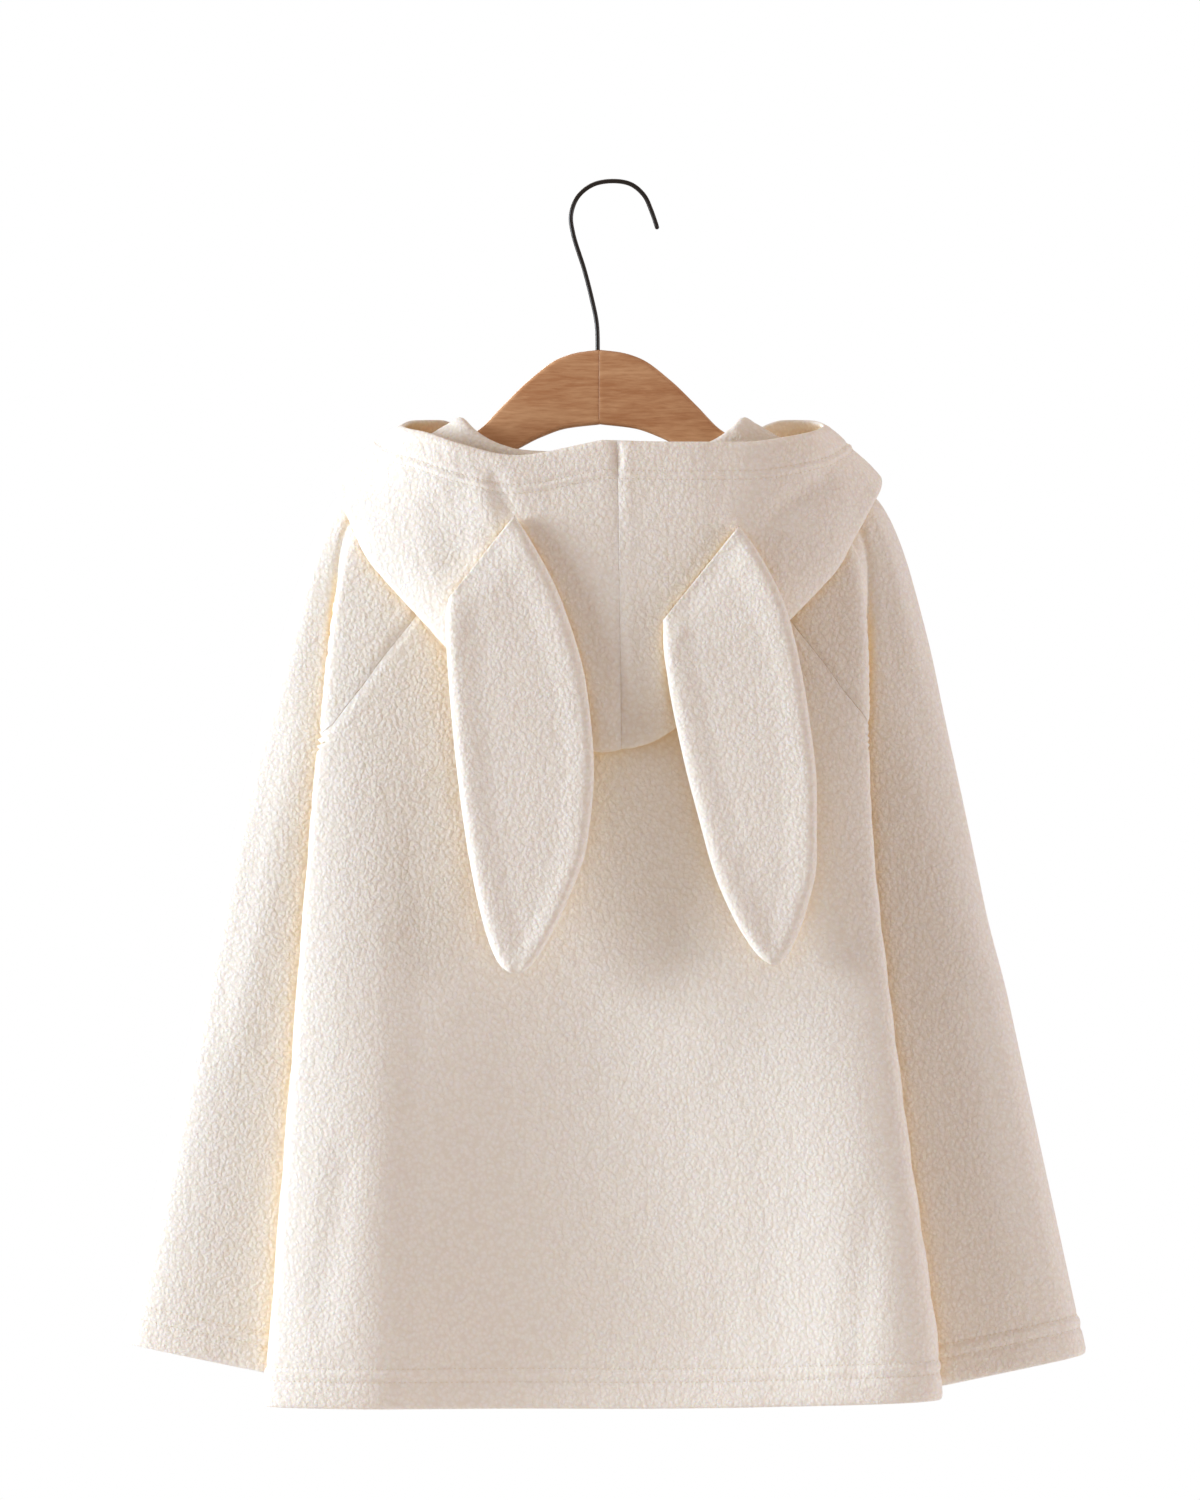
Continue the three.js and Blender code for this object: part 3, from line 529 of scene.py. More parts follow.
# The hood's guide points at each place: neck seam, roll, inner layer, bottom fold, outer layer and edge.
def hoodGuides(place):
    around = np.abs(place)
    right = place >= 0
    drop = np.where(right, read(hoodDrop, "right", around), read(hoodDrop, "left", around))
    rise, lie, turn, bulge = (
        read(hoodRoll, name, around)[:, None] for name in ("rise", "lie", "turn", "bulge"))
    up = np.array([0, 0, 1])
    zero = 0 * place
    neck = overYoke(zero, place, zero)
    away = overYoke(zero, place, zero + 1) - neck
    rising = unit(neck - overYoke(zero + hood["neckStep"], place, zero))
    swell = drop * hood["swellAt"]
    outwards = overYoke(swell, place, zero + 1) - overYoke(swell, place, zero)
    edgeX = np.where(right, read(faceEdge, "rightX", around), -read(faceEdge, "leftX", around))
    edgeZ = np.where(right, read(faceEdge, "rightZ", around), read(faceEdge, "leftZ", around))
    edge = np.stack([edgeX, read(faceEdge, "y", around), edgeZ], axis=-1)
    bottom = overYoke(drop, place, lie + turn)
    guides = [
        neck + rising * hood["start"],
        neck + rising * hood["neck"][0] + up * hood["neckUp"],
        neck + rising * hood["neck"][1] + up * rise * hood["neckRise"],
        neck + up * rise + away * hood["away"],
        overYoke(np.minimum(hood["layLevel"], drop * hood["layShare"]), place, lie + hood["layRoom"]),
    ]
    guides += [overYoke(drop * share, place, lie) for share in hood["layers"]]
    guides.append(bottom)
    guides += [lerp(bottom, edge, share) + outwards * bulge * amount for share, amount in outerSwell]
    guides.append(edge)
    return np.stack(guides, axis=1)


# Rows run from the neck seam to the face edge and columns from the centre back to the centre front.
def hoodGrid(side, pitch):
    length = hood["length"]
    rim = rimSteps / length
    edge = 2 * rimSteps[-1] / length
    share = np.concatenate([rim, np.linspace(edge, 1 - edge, int(length / pitch)), 1 - rim[::-1]])
    place = side * share + hood["seamShift"] * (1 - share**2)
    guides = hoodGuides(place)
    section = {"guides": guides, "closed": False, "first": 0, "last": 1, "count": guides.shape[1] - 1}
    total = walk(section)[1][:, -1:]
    hem = np.linspace(hood["hem"], hemEdge, hood["hemRows"])
    hem = 1 - np.concatenate([hem, rimSteps[::-1]]) / length
    even = np.linspace(edge, hem[0], int(hood["evenLength"] / pitch), endpoint=False)
    points = pointsAtLengths(section, total * np.concatenate([rim, even, hem]))
    points = np.swapaxes(points, 0, 1)
    points[:, 0, 0] = points[:, 0, 0] + side * sewnGap / 2
    points[:, -1, 0] = side * sewnGap / 2
    return points


# A colour written as sRGB hex, made linear.
def colour(code):
    parts = [int(code[k:k + 2], 16) / 255 for k in (1, 3, 5)]
    return tuple(c / 12.92 if c <= 0.04045 else ((c + 0.055) / 1.055) ** 2.4 for c in parts) + (1,)


# A node with its settings and links. Its inputs are values or sockets, and a ramp has stops of colour.
def addNode(material, kind, inputs=None, stops=(), **settings):
    tree = material.node_tree
    node = tree.nodes.new(kind)
    for name, value in settings.items():
        setattr(node, name, value)
    for name, value in (inputs or {}).items():
        if isinstance(value, bpy.types.NodeSocket):
            tree.links.new(value, node.inputs[name])
        else:
            node.inputs[name].default_value = value
    for k, (place, code) in enumerate(stops):
        node.color_ramp.elements[k].position = place
        node.color_ramp.elements[k].color = colour(code)
    return node


def newMaterial(name):
    material = bpy.data.materials.new(name)
    material.use_nodes = True
    material.node_tree.nodes.clear()
    return material


# Sizes of the fleece's curls and fibres, and how far from a fold the painted yellow shade reaches.
fleeceFinish = {
    "tuft": 2.5,
    "tuftHeight": 0.44,
    "stray": 3.5,
    "strayReach": 2.4,
    "fibre": 0.9,
    "fibreHeight": 0.25,
    "paintedShadeReach": 42,
}


# Ivory lamb fleece: matt short curled pile that lets a little light through, with warm yellow shade
# painted into its colour in folds and between parts.
def fleeceMaterial():
    material = newMaterial("ivory lamb fleece")
    place = addNode(material, "ShaderNodeTexCoord").outputs["Object"]
    stray = addNode(material, "ShaderNodeTexNoise", {
        "Vector": place, "Scale": 1 / (fleeceFinish["stray"] * mm)})
    reach = fleeceFinish["strayReach"] * mm
    shifted = addNode(material, "ShaderNodeVectorMath", {
        0: stray.outputs["Color"], 1: (reach, reach, reach), 2: place}, operation="MULTIPLY_ADD")
    tufts = addNode(material, "ShaderNodeTexVoronoi", {
        "Vector": shifted.outputs["Vector"], "Scale": 1 / (fleeceFinish["tuft"] * mm)})
    pale = addNode(material, "ShaderNodeValToRGB", {
        "Fac": tufts.outputs["Distance"]}, stops=((0.1, "#fdfbf8"), (0.75, "#f4efe8")))
    # Painted shade: where ambient occlusion finds other cloth near, in folds, between sleeve and body and
    # under the hood and ears, the colour is tinted yellow to stand in for warm shade and bounced light.
    paintedShadeOcclusion = addNode(material, "ShaderNodeAmbientOcclusion", {
        "Distance": fleeceFinish["paintedShadeReach"] * mm}, samples=4)
    paintedFoldShade = addNode(material, "ShaderNodeValToRGB", {
        "Fac": paintedShadeOcclusion.outputs["AO"]}, stops=((0.15, "#ffe6b2"), (0.66, "#ffffff")))
    # The pale pile colour multiplied by the painted yellow fold shade.
    tint = addNode(material, "ShaderNodeMix", {
        0: 1.0,
        6: pale.outputs["Color"],
        7: paintedFoldShade.outputs["Color"],
    }, data_type="RGBA", blend_type="MULTIPLY")
    tuftBump = addNode(material, "ShaderNodeBump", {
        "Height": tufts.outputs["Distance"],
        "Strength": 1.0,
        "Distance": fleeceFinish["tuftHeight"] * mm,
    }, invert=True)
    fibres = addNode(material, "ShaderNodeTexNoise", {
        "Vector": place, "Scale": 1 / (fleeceFinish["fibre"] * mm), "Roughness": 0.6})
    fibreBump = addNode(material, "ShaderNodeBump", {
        "Height": fibres.outputs["Fac"],
        "Strength": 1.0,
        "Distance": fleeceFinish["fibreHeight"] * mm,
        "Normal": tuftBump.outputs["Normal"],
    })
    finish = addNode(material, "ShaderNodeBsdfPrincipled", {
        "Base Color": tint.outputs[2],
        "Roughness": 1.0,
        "Specular IOR Level": 0.1,
        "Subsurface Weight": 0.25,
        "Subsurface Radius": (1.0, 0.75, 0.45),
        "Subsurface Scale": 3 * mm,
        "Sheen Weight": 0.15,
        "Sheen Roughness": 0.6,
        "Normal": fibreBump.outputs["Normal"],
    })
    addNode(material, "ShaderNodeOutputMaterial", {"Surface": finish.outputs["BSDF"]})
    return material


# Cream sewing thread: spun and slightly glossy, so that the stitches stand out from the matt pile.
def threadMaterial():
    material = newMaterial("cream thread")
    finish = addNode(material, "ShaderNodeBsdfPrincipled", {
        "Base Color": colour("#efe6d6"), "Roughness": 0.6, "Specular IOR Level": 0.3})
    addNode(material, "ShaderNodeOutputMaterial", {"Surface": finish.outputs["BSDF"]})
    return material


# Pores and growth bands of the wood in millimetres across the grain, and how they stretch along it.
beechFinish = {"pore": 1.3, "poreDepth": 0.1, "band": 9, "slope": 20, "stretch": (0.12, 0.8, 1)}


# Clear-varnished beech: light brown and satin, with its grain along each arm of the hanger.
def beechMaterial(name, side):
    material = newMaterial(name)
    place = addNode(material, "ShaderNodeTexCoord").outputs["Object"]
    along = addNode(material, "ShaderNodeMapping", {
        "Vector": place,
        "Rotation": (0, side * math.radians(beechFinish["slope"]), 0),
        "Scale": beechFinish["stretch"],
    })
    grain = addNode(material, "ShaderNodeTexNoise", {
        "Vector": along.outputs["Vector"],
        "Scale": 1 / (beechFinish["pore"] * mm),
        "Detail": 3,
        "Roughness": 0.6,
        "Distortion": 0.3,
    })
    bands = addNode(material, "ShaderNodeTexNoise", {
        "Vector": along.outputs["Vector"], "Scale": 1 / (beechFinish["band"] * mm)})
    both = addNode(material, "ShaderNodeMath", {
        0: grain.outputs["Fac"], 1: bands.outputs["Fac"]}, operation="ADD")
    halved = addNode(material, "ShaderNodeMath", {0: both.outputs["Value"], 1: 0.5}, operation="MULTIPLY")
    tint = addNode(material, "ShaderNodeValToRGB", {
        "Fac": halved.outputs["Value"]}, stops=((0.36, "#b98258"), (0.62, "#d8aa80")))
    relief = addNode(material, "ShaderNodeBump", {
        "Height": grain.outputs["Fac"], "Strength": 0.4, "Distance": beechFinish["poreDepth"] * mm})
    finish = addNode(material, "ShaderNodeBsdfPrincipled", {
        "Base Color": tint.outputs["Color"],
        "Roughness": 0.42,
        "Coat Weight": 0.25,
        "Coat Roughness": 0.25,
        "Normal": relief.outputs["Normal"],
    })
    addNode(material, "ShaderNodeOutputMaterial", {"Surface": finish.outputs["BSDF"]})
    return material


# Black lacquered steel wire: smooth and satin, with soft highlights along the bend.
def wireMaterial():
    material = newMaterial("black lacquered wire")
    finish = addNode(material, "ShaderNodeBsdfPrincipled", {
        "Base Color": colour("#1b1918"), "Roughness": 0.35, "Specular IOR Level": 0.5})
    addNode(material, "ShaderNodeOutputMaterial", {"Surface": finish.outputs["BSDF"]})
    return material


fleece = fleeceMaterial()
thread = threadMaterial()


# A closed wall between two layers of the same grid. The inner layer keeps every other row and column.
def wallMesh(name, outer, inner):
    rows, columns = outer.shape[:2]
    rowPick = np.unique(np.append(np.arange(0, rows, 2), rows - 1))
    columnPick = np.unique(np.append(np.arange(0, columns, 2), columns - 1))
    inner = inner[np.ix_(rowPick, columnPick)]
    innerStart = rows * columns
    a = np.arange(innerStart).reshape(rows, columns)
    b = innerStart + np.arange(inner.shape[0] * inner.shape[1]).reshape(inner.shape[:2])
    faces = gridFaces(a) + [face[::-1] for face in gridFaces(b)]
    faces += edgeFaces(a[0], b[0], columnPick, False)
    faces += edgeFaces(a[-1], b[-1], columnPick, True)
    faces += edgeFaces(a[:, 0], b[:, 0], rowPick, True)
    faces += edgeFaces(a[:, -1], b[:, -1], rowPick, False)
    vertices = np.concatenate([outer.reshape(-1, 3), inner.reshape(-1, 3)])
    return meshObject(name, vertices, faces)


def gridFaces(index):
    corners = (index[:-1, :-1], index[1:, :-1], index[1:, 1:], index[:-1, 1:])
    return np.stack([corner.ravel() for corner in corners], axis=-1).tolist()


# Faces between a fine edge line and a coarse one that has a point at each picked place of the fine one.
def edgeFaces(fine, coarse, picked, turned):
    faces = []
    for k in range(len(picked) - 1):
        for j in range(picked[k], picked[k + 1]):
            corner = coarse[k] if j == picked[k] else coarse[k + 1]
            faces.append([int(fine[j]), int(fine[j + 1]), int(corner)])
        faces.append([int(fine[picked[k] + 1]), int(coarse[k + 1]), int(coarse[k])])
    return [face[::-1] for face in faces] if turned else faces


# Side walls between rings of equal length and a cap at both ends.
def tubeFaces(rings, around):
    faces = []
    for r in range(rings - 1):
        for n in range(around):
            a, b = r * around + n, r * around + (n + 1) % around
            faces.append([a, b, b + around, a + around])
    faces.append(list(range(around))[::-1])
    faces.append([(rings - 1) * around + n for n in range(around)])
    return faces


# A mesh of points in millimetres, faces pointing outwards, smoothly shaded and riding on the part.
def meshObject(name, vertices, faces):
    mesh = bpy.data.meshes.new(name)
    mesh.from_pydata((np.asarray(vertices) * mm).tolist(), [], faces)
    mesh.validate()
    mesh.update()
    made = bpy.data.objects.new(name, mesh)
    scene.collection.objects.link(made)
    mesh.calc_loop_triangles()
    corners = np.zeros(len(mesh.loop_triangles) * 3, np.int32)
    mesh.loop_triangles.foreach_get("vertices", corners)
    a, b, c = (np.asarray(vertices)[corners.reshape(-1, 3)[:, k]] for k in range(3))
    if np.einsum("ij,ij->i", a, np.cross(b, c)).sum() < 0:
        mesh.flip_normals()
    mesh.shade_smooth()
    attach(made, "root")
    return made


# Lengths along a grid: across each row and down each column.
def clothLengths(points):
    across = np.linalg.norm(np.diff(points, axis=1), axis=-1)
    down = np.linalg.norm(np.diff(points, axis=0), axis=-1)
    u = np.concatenate([np.zeros((points.shape[0], 1)), np.cumsum(across, axis=1)], axis=1)
    v = np.concatenate([np.zeros((1, points.shape[1])), np.cumsum(down, axis=0)], axis=0)
    return u, v


# How far each point of a grid is from its four edges, measured along the cloth.
def edgeDistances(u, v):
    return {"top": v, "bottom": v[-1:] - v, "start": u, "end": u[:, -1:] - u}


# Share of the wall's thickness left near the edges: rolled thin at free ones, eased at sewn ones.
def roundedEdges(distances, free):
    share = np.ones_like(distances["top"])
    for name, distance in distances.items():
        edge = rolls["free"] if name in free else rolls["sewn"]
        inside = np.clip(distance / edge["radius"], 0, 1)
        roll = np.sqrt(1 - (1 - inside) ** 2)
        share = np.minimum(share, edge["least"] + (1 - edge["least"]) * roll)
    return share


# Heights and cells of the pile in millimetres, from small curls to broad unevenness.
pileForm = {
    "lean": 2.2,
    "leanCells": (34, 46),
    "slant": 0.2,
    "curl": 0.09,
    "curlCells": (4.8, 4.6),
    "clump": 0.1,
    "clumpCells": (12, 13),
    "swell": 0.4,
    "swellCells": (42, 60),
}


# Short curled pile: fine curls that lean down the cloth, on softer and softer unevenness.
def pile(u, v, seed):
    lean = pileForm["lean"] * sheetNoise(u, v, *pileForm["leanCells"], seed + 5)
    slant = v - u * pileForm["slant"]
    curls = pileForm["curl"] * sheetNoise(u + lean, slant, *pileForm["curlCells"], seed)
    clumps = pileForm["clump"] * sheetNoise(u, v, *pileForm["clumpCells"], seed + 2)
    return curls + clumps + pileForm["swell"] * sheetNoise(u, v, *pileForm["swellCells"], seed + 3)


hemForm = {
    "past": 3,
    "over": 5,
    "edge": 4,
    "press": 0.8,
    "pressWidth": 1.5,
    "between": 0.2,
    "fullness": 0.3,
}


# Two rows of stitches press the cloth in, and the turned-in layer fills it out between them and the edge.
def hemLift(distance, rows, puff):
    inside = smooth((rows[-1] + hemForm["past"] - distance) / hemForm["over"])
    inside = inside * smooth(distance / hemForm["edge"])
    press = sum(bump(distance - row, hemForm["pressWidth"]) for row in rows)
    between = bump(distance - sum(rows) / len(rows), (rows[-1] - rows[0]) * hemForm["fullness"])
    return puff * inside - hemForm["press"] * press + hemForm["between"] * between


# Share of a crease's length that it runs on past each end, and over which it fades.
creaseEnds = {"past": 0.12, "over": 0.32}


# Creases run between two points, x and z on the pullover as seen from behind. Some grow on the way.
def creaseMove(points, creases):
    move = np.zeros(points.shape[:2])
    for crease in creases:
        start, end = np.array(crease["start"], float), np.array(crease["end"], float)
        way = end - start
        length = np.linalg.norm(way)
        offset = points[..., [0, 2]] - start
        along = offset @ way / length**2
        across = (offset[..., 0] * way[1] - offset[..., 1] * way[0]) / length
        bow = crease.get("bow", 0) * 4 * along * (1 - along)
        nearest = np.minimum(along, 1 - along) + creaseEnds["past"]
        fade = smooth(nearest / creaseEnds["over"])
        grown = lerp(1, np.clip(along, 0, 1), crease.get("grow", 0))
        move += crease["height"] * grown * bump(across - bow, crease["width"]) * fade
    return move


# A line on a grid's outer surface at one distance from an edge, with the outward directions there.
def lineAt(surface, normals, distances, wanted):
    line, ways = [], []
    for c in range(surface.shape[1]):
        order = np.argsort(distances[:, c])
        place = np.interp(wanted, distances[order, c], np.arange(len(order)))
        low = min(int(place), len(order) - 2)
        a, b = order[low], order[low + 1]
        line.append(lerp(surface[a, c], surface[b, c], place - low))
        ways.append(lerp(normals[a, c], normals[b, c], place - low))
    return np.array(line), unit(np.array(ways))


stitch = {
    "pitch": 3.2,
    "long": 2.5,
    "radius": 0.34,
    "sides": 6,
    "first": 0.3,
    "thickness": np.array([0.3, 0.9, 1, 0.9, 0.3]),
    "rise": np.array([-0.65, -0.15, -0.05, -0.15, -0.65]),
}


# Threads of a row of stitches: short rods with round ends that lie along a line and dip at both ends.
def stitchRods(line, ways):
    steps = np.linalg.norm(np.diff(line, axis=0), axis=-1)
    lengths = np.concatenate([[0], np.cumsum(steps)])
    count = int((lengths[-1] - stitch["long"]) / stitch["pitch"])
    vertices, faces = [], []
    sides, rings = stitch["sides"], len(stitch["rise"])
    for k in range(count):
        reach = np.linspace(0, stitch["long"], rings) + (k + stitch["first"]) * stitch["pitch"]
        middle = np.stack([np.interp(reach, lengths, line[:, j]) for j in range(3)], axis=-1)
        out = unit(np.stack([np.interp(reach, lengths, ways[:, j]) for j in range(3)], axis=-1))
        side = unit(np.cross(unit(middle[-1] - middle[0]), out))
        radii = stitch["radius"] * stitch["thickness"]
        start = len(vertices)
        for ring in range(rings):
            for n in range(sides):
                angle = 2 * math.pi * n / sides
                shift = side[ring] * math.cos(angle) + out[ring] * math.sin(angle)
                vertices.append(middle[ring] + out[ring] * stitch["rise"][ring] + shift * radii[ring])
        faces += [[start + corner for corner in face] for face in tubeFaces(rings, sides)]
    return vertices, faces


def stitches(name, rows):
    vertices, faces = [], []
    for line, ways in rows:
        more, moreFaces = stitchRods(line, ways)
        faces += [[corner + len(vertices) for corner in face] for face in moreFaces]
        vertices += more
    made = meshObject(name, vertices, faces)
    made.data.materials.append(thread)
    return made


# Edges of a piece: how free and sewn ones are rolled, how the pile ends at them, and how a seam sinks in.
rolls = {"free": {"radius": 1.4, "least": 0.06}, "sewn": {"radius": 0.7, "least": 0.93}}
edgeForm = {"freeFade": 3, "sewnFade": 4, "dip": 0.5, "dipWidth": 3}
hiddenDepth = 12  # the pile is laid flat this near to the middle plane, where the side folds meet
centreRidge = {"at": 5, "width": 3.2, "step": 0.5, "over": 8}


# A cut piece of fleece on its grid: creases, hem, seam dips and pile, then a closed wall.
def clothPiece(name, points, look):
    normals = gridNormals(points, look["known"], look["way"])
    points = points + normals * creaseMove(points, look["creases"])[..., None]
    u, v = clothLengths(points)
    distances = edgeDistances(u, v)
    rounded = roundedEdges(distances, look["free"])
    lift = pile(u, v, look["seed"]) * smooth(np.abs(points[..., 1]) / hiddenDepth + look.get("open", 0))
    for edge, distance in distances.items():
        if edge in look["free"]:
            lift = lift * smooth(distance / edgeForm["freeFade"])
            lift = lift + hemLift(distance, look["rows"], look["puff"])
        else:
            lift = lift * smooth(distance / edgeForm["sewnFade"])
            lift -= edgeForm["dip"] * bump(distance, edgeForm["dipWidth"])
    start = distances["start"]
    ridge = bump(start - centreRidge["at"], centreRidge["width"])
    ridge += centreRidge["step"] * smooth(start / centreRidge["over"])
    lift += look.get("ridge", 0) * ridge
    placed = points + np.array([garmentX, 0, 0])
    half = (clothWall / 2 * rounded)[..., None]
    surface = placed + normals * (half + lift[..., None])
    made = wallMesh(f"{name}_fleece", surface, placed - normals * half)
    made.data.materials.append(fleece)
    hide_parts(name)
    threads = []
    for edge in look["free"]:
        for row in look["rows"]:
            threads.append(lineAt(surface, normals, distances[edge], row))
    return made, threads


# Looks of the pieces. A piece's "known" place, as shares of its grid, faces its "way".
hemLook = {"free": ["bottom"], "rows": [16, 24], "puff": 0.8}
backLook = {
    **hemLook,
    "pitch": 2.2,
    "seed": 11,
    "known": (0.5, 0.5),
    "way": (0, -1, 0),
    "creases": [
        {"start": (-142, -385), "end": (-136, -745), "height": 9.5, "width": 50, "grow": 1},
        {"start": (-18, -385), "end": (-24, -745), "height": -10, "width": 88, "grow": 1},
        {"start": (48, -385), "end": (68, -745), "height": -19, "width": 80, "grow": 1},
        {"start": (62, -385), "end": (80, -745), "height": -3, "width": 20, "grow": 1},
        {"start": (158, -400), "end": (182, -745), "height": 10.5, "width": 48, "grow": 1},
        {"start": (-151, -570), "end": (-168, -690), "height": -1.2, "width": 10},
        {"start": (160, -600), "end": (150, -724), "height": -1.2, "width": 9},
    ],
}
frontLook = {
    **hemLook,
    "pitch": 3.0,
    "seed": 23,
    "known": (0.5, 0.5),
    "way": (0, 1, 0),
    "creases": [
        {"start": (-70, -430), "end": (-96, -690), "height": -2.5, "width": 16},
        {"start": (96, -420), "end": (110, -680), "height": -2.2, "width": 18},
    ],
}
sleeveLook = {**hemLook, "pitch": 2.2, "known": (0.67, 0.25), "way": (0, -1, 0)}
sleeveLooks = {
    "left": {
        **sleeveLook,
        "side": -1,
        "seed": 37,
        "creases": [{"start": (-190, -300), "end": (-236, -520), "height": -2.4, "width": 11}],
    },
    "right": {
        **sleeveLook,
        "side": 1,
        "seed": 41,
        "creases": [{"start": (186, -290), "end": (236, -470), "height": -2.4, "width": 12}],
    },
}
hoodLook = {
    "free": ["bottom"],
    "rows": [18, 23],
    "puff": 0.9,
    "open": 1,
    "pitch": 1.7,
    "known": (0.8, 0.125),
    "way": (0, -1, 0),
}
hoodLooks = {
    "left": {
        **hoodLook,
        "side": -1,
        "seed": 53,
        "creases": [
            {"start": (-65, -174), "end": (-52, -202), "height": -1.4, "width": 5, "bow": 1},
            {"start": (-74, -178), "end": (-62, -210), "height": 1.2, "width": 8, "bow": 1},
            {"start": (-100, -190), "end": (-84, -236), "height": -1.4, "width": 12},
        ],
    },
    "right": {
        **hoodLook,
        "side": 1,
        "seed": 61,
        "ridge": 0.2,
        "creases": [{"start": (140, -172), "end": (92, -210), "height": -2.8, "width": 9}],
    },
}

threads = []
back, rows = clothPiece("back", bodyGrid(backFace, backLook["pitch"]), backLook)
threads += rows
front, rows = clothPiece("front", bodyGrid(frontFace, frontLook["pitch"]), frontLook)
threads += rows
print("body made")
sleeves = []
for label, look in sleeveLooks.items():
    piece, rows = clothPiece(f"sleeve_{label}", sleeveGrid(look["side"], look["pitch"]), look)
    sleeves.append(piece)
    threads += rows
print("sleeves made")
hoodHalves = []
for label, look in hoodLooks.items():
    piece, rows = clothPiece(f"hood_{label}", hoodGrid(look["side"], look["pitch"]), look)
    hoodHalves.append(piece)
    threads += rows
print("hood made")


# Outlines of the ears from root to tip, laid out as they hang.
ears = {
    "ear_left": {
        "rootY": -66.1,
        "tipY": -58,
        "tilt": -0.045,
        "at": [0, 0.1, 0.25, 0.45, 0.6, 0.75, 0.87, 0.94, 0.98, 1],
        "leftX": [-90.8, -92.8, -91.8, -87.8, -82.8, -76.8, -69.8, -64.3, -59.3, -54],
        "leftZ": [-250, -262, -285, -335, -378, -415, -445, -461, -469, -472.5],
        "rightX": [-51.8, -39.8, -23.8, -8.8, -4.8, -8.8, -20.8, -33.8, -42, -48],
        "rightZ": [-201, -220, -252, -305, -352, -395, -430, -456, -468, -472.5],
    },
    "ear_right": {
        "rootY": -62.6,
        "tipY": -56,
        "tilt": 0.045,
        "at": [0, 0.1, 0.25, 0.45, 0.6, 0.75, 0.87, 0.94, 0.98, 1],
        "leftX": [36.2, 36.2, 39.2, 48.2, 57.2, 66.2, 77.2, 87.2, 94.8, 100.5],
        "leftZ": [-263, -275, -300, -345, -380, -412, -438, -455, -464, -467.5],
        "rightX": [81.2, 93.2, 110.2, 122.2, 127.2, 127.2, 121.2, 114, 109, 105.5],
        "rightZ": [-207, -224, -260, -318, -365, -405, -435, -454.5, -463.5, -467.5],
    },
}

earLook = {
    "rows": 160,
    "columns": 64,
    "gap": 0.04,
    "rim": 0.3,
    "roll": 4.6,
    "rollWidth": 6.5,
    "hollow": 1.2,
    "hollowAt": 16,
    "root": 0.55,
    "rootReach": 20,
    "tipReach": 7,
    "pileFade": 3,
    "seed": 71,
    "lean": {"ear_left": 0, "ear_right": 9},
    "leanRate": {"root": 4, "tip": 3},
}


# One of the two cut pieces of an ear: flat against the other, domed outside, with a full rolled rim.
def earPiece(name, ear, part, face, lean, seed):
    along = np.linspace(0, 1, earLook["rows"])
    across = (1 - np.cos(np.linspace(0, math.pi, earLook["columns"]))) / 2
    place = along[:, None] + 0 * across
    share = 0 * along[:, None] + across
    x = lerp(read(ear, "leftX", place), read(ear, "rightX", place), share)
    z = lerp(read(ear, "leftZ", place), read(ear, "rightZ", place), share)
    y = lerp(ear["rootY"], ear["tipY"], smooth(place)) + ear["tilt"] * (x - ear["rightX"][0])
    rate = earLook["leanRate"]
    y = y - lean * share * smooth(place * rate["root"]) * smooth((1 - place) * rate["tip"])
    points = np.stack([x, y, z], axis=-1)
    u, v = clothLengths(points)
    distances = edgeDistances(u, v)
    nearest = np.minimum(distances["start"], distances["end"])
    nearest = np.minimum(nearest, distances["bottom"] * earLook["rollWidth"] / earLook["tipReach"])
    inside = np.clip(nearest / earLook["rollWidth"], 0, 1)
    rim = np.sqrt(1 - (1 - inside) ** 2)
    root = earLook["root"] + (1 - earLook["root"]) * smooth(distances["top"] / earLook["rootReach"])
    hollow = earLook["hollow"] * smooth((nearest - earLook["rollWidth"]) / earLook["hollowAt"])
    dome = earLook["rim"] + (earLook["roll"] * rim - hollow) * root
    lift = pile(u, v, seed) * smooth(nearest / earLook["pileFade"])
    out = np.array([0, face, 0])
    outer = points + out * (earLook["gap"] + dome + lift)[..., None] + np.array([garmentX, 0, 0])
    inner = points + out * earLook["gap"] + np.array([garmentX, 0, 0])
    made = wallMesh(f"{name}_{part}_fleece", outer, inner)
    made.data.materials.append(fleece)
    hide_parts(f"{name}_{part}")
    return made


earPieces = []
for name, ear in ears.items():
    for part, face in (("outer", -1), ("under", 1)):
        seed = earLook["seed"] + 3 * len(earPieces)
        earPieces.append(earPiece(name, ear, part, face, earLook["lean"][name], seed))
print("ears made")

stitches("stitching_thread", threads)
print("stitches made")


# Top and bottom of one arm from the middle out, and the path of the wire from its free end.
barTop = {
    "at": [0, 12, 24, 42, 58, 72, 84, 112, 140, 148],
    "z": [-100, -101.4, -105, -118, -133.5, -147.6, -154.5, -168.3, -181.5, -187],
}
barBottom = {"at": [0, 20, 36, 52, 100, 140, 148], "z": [-144.6, -147, -152.5, -160.8, -186, -203, -200]}
hookPath = [
    (28, -27.6), (24.2, -16.5), (19.8, -7.2), (12, -0.6), (1, 1.35), (-11, -0.9), (-20, -8.2), (-24, -19),
    (-22.8, -30), (-16, -52), (-11.4, -70), (-8.6, -84), (-8, -100), (-8, -118),
]

bar = {
    "thick": 11.5,
    "corner": 3,
    "steps": 90,
    "cornerSteps": 6,
    "joint": 0.35,
    "jointSteps": 4,
    "jointSkew": 0.1,
    "endInset": 0.8,
    "sharpDegrees": 40,
}
wire = {
    "radius": 1.35,
    "sides": 20,
    "steps": 260,
    "tipSteps": 6,
    "tipSkip": 4,
    "tipLeast": 0.12,
    "socket": 1.65,
    "socketSides": 32,
    "depth": 22,
}


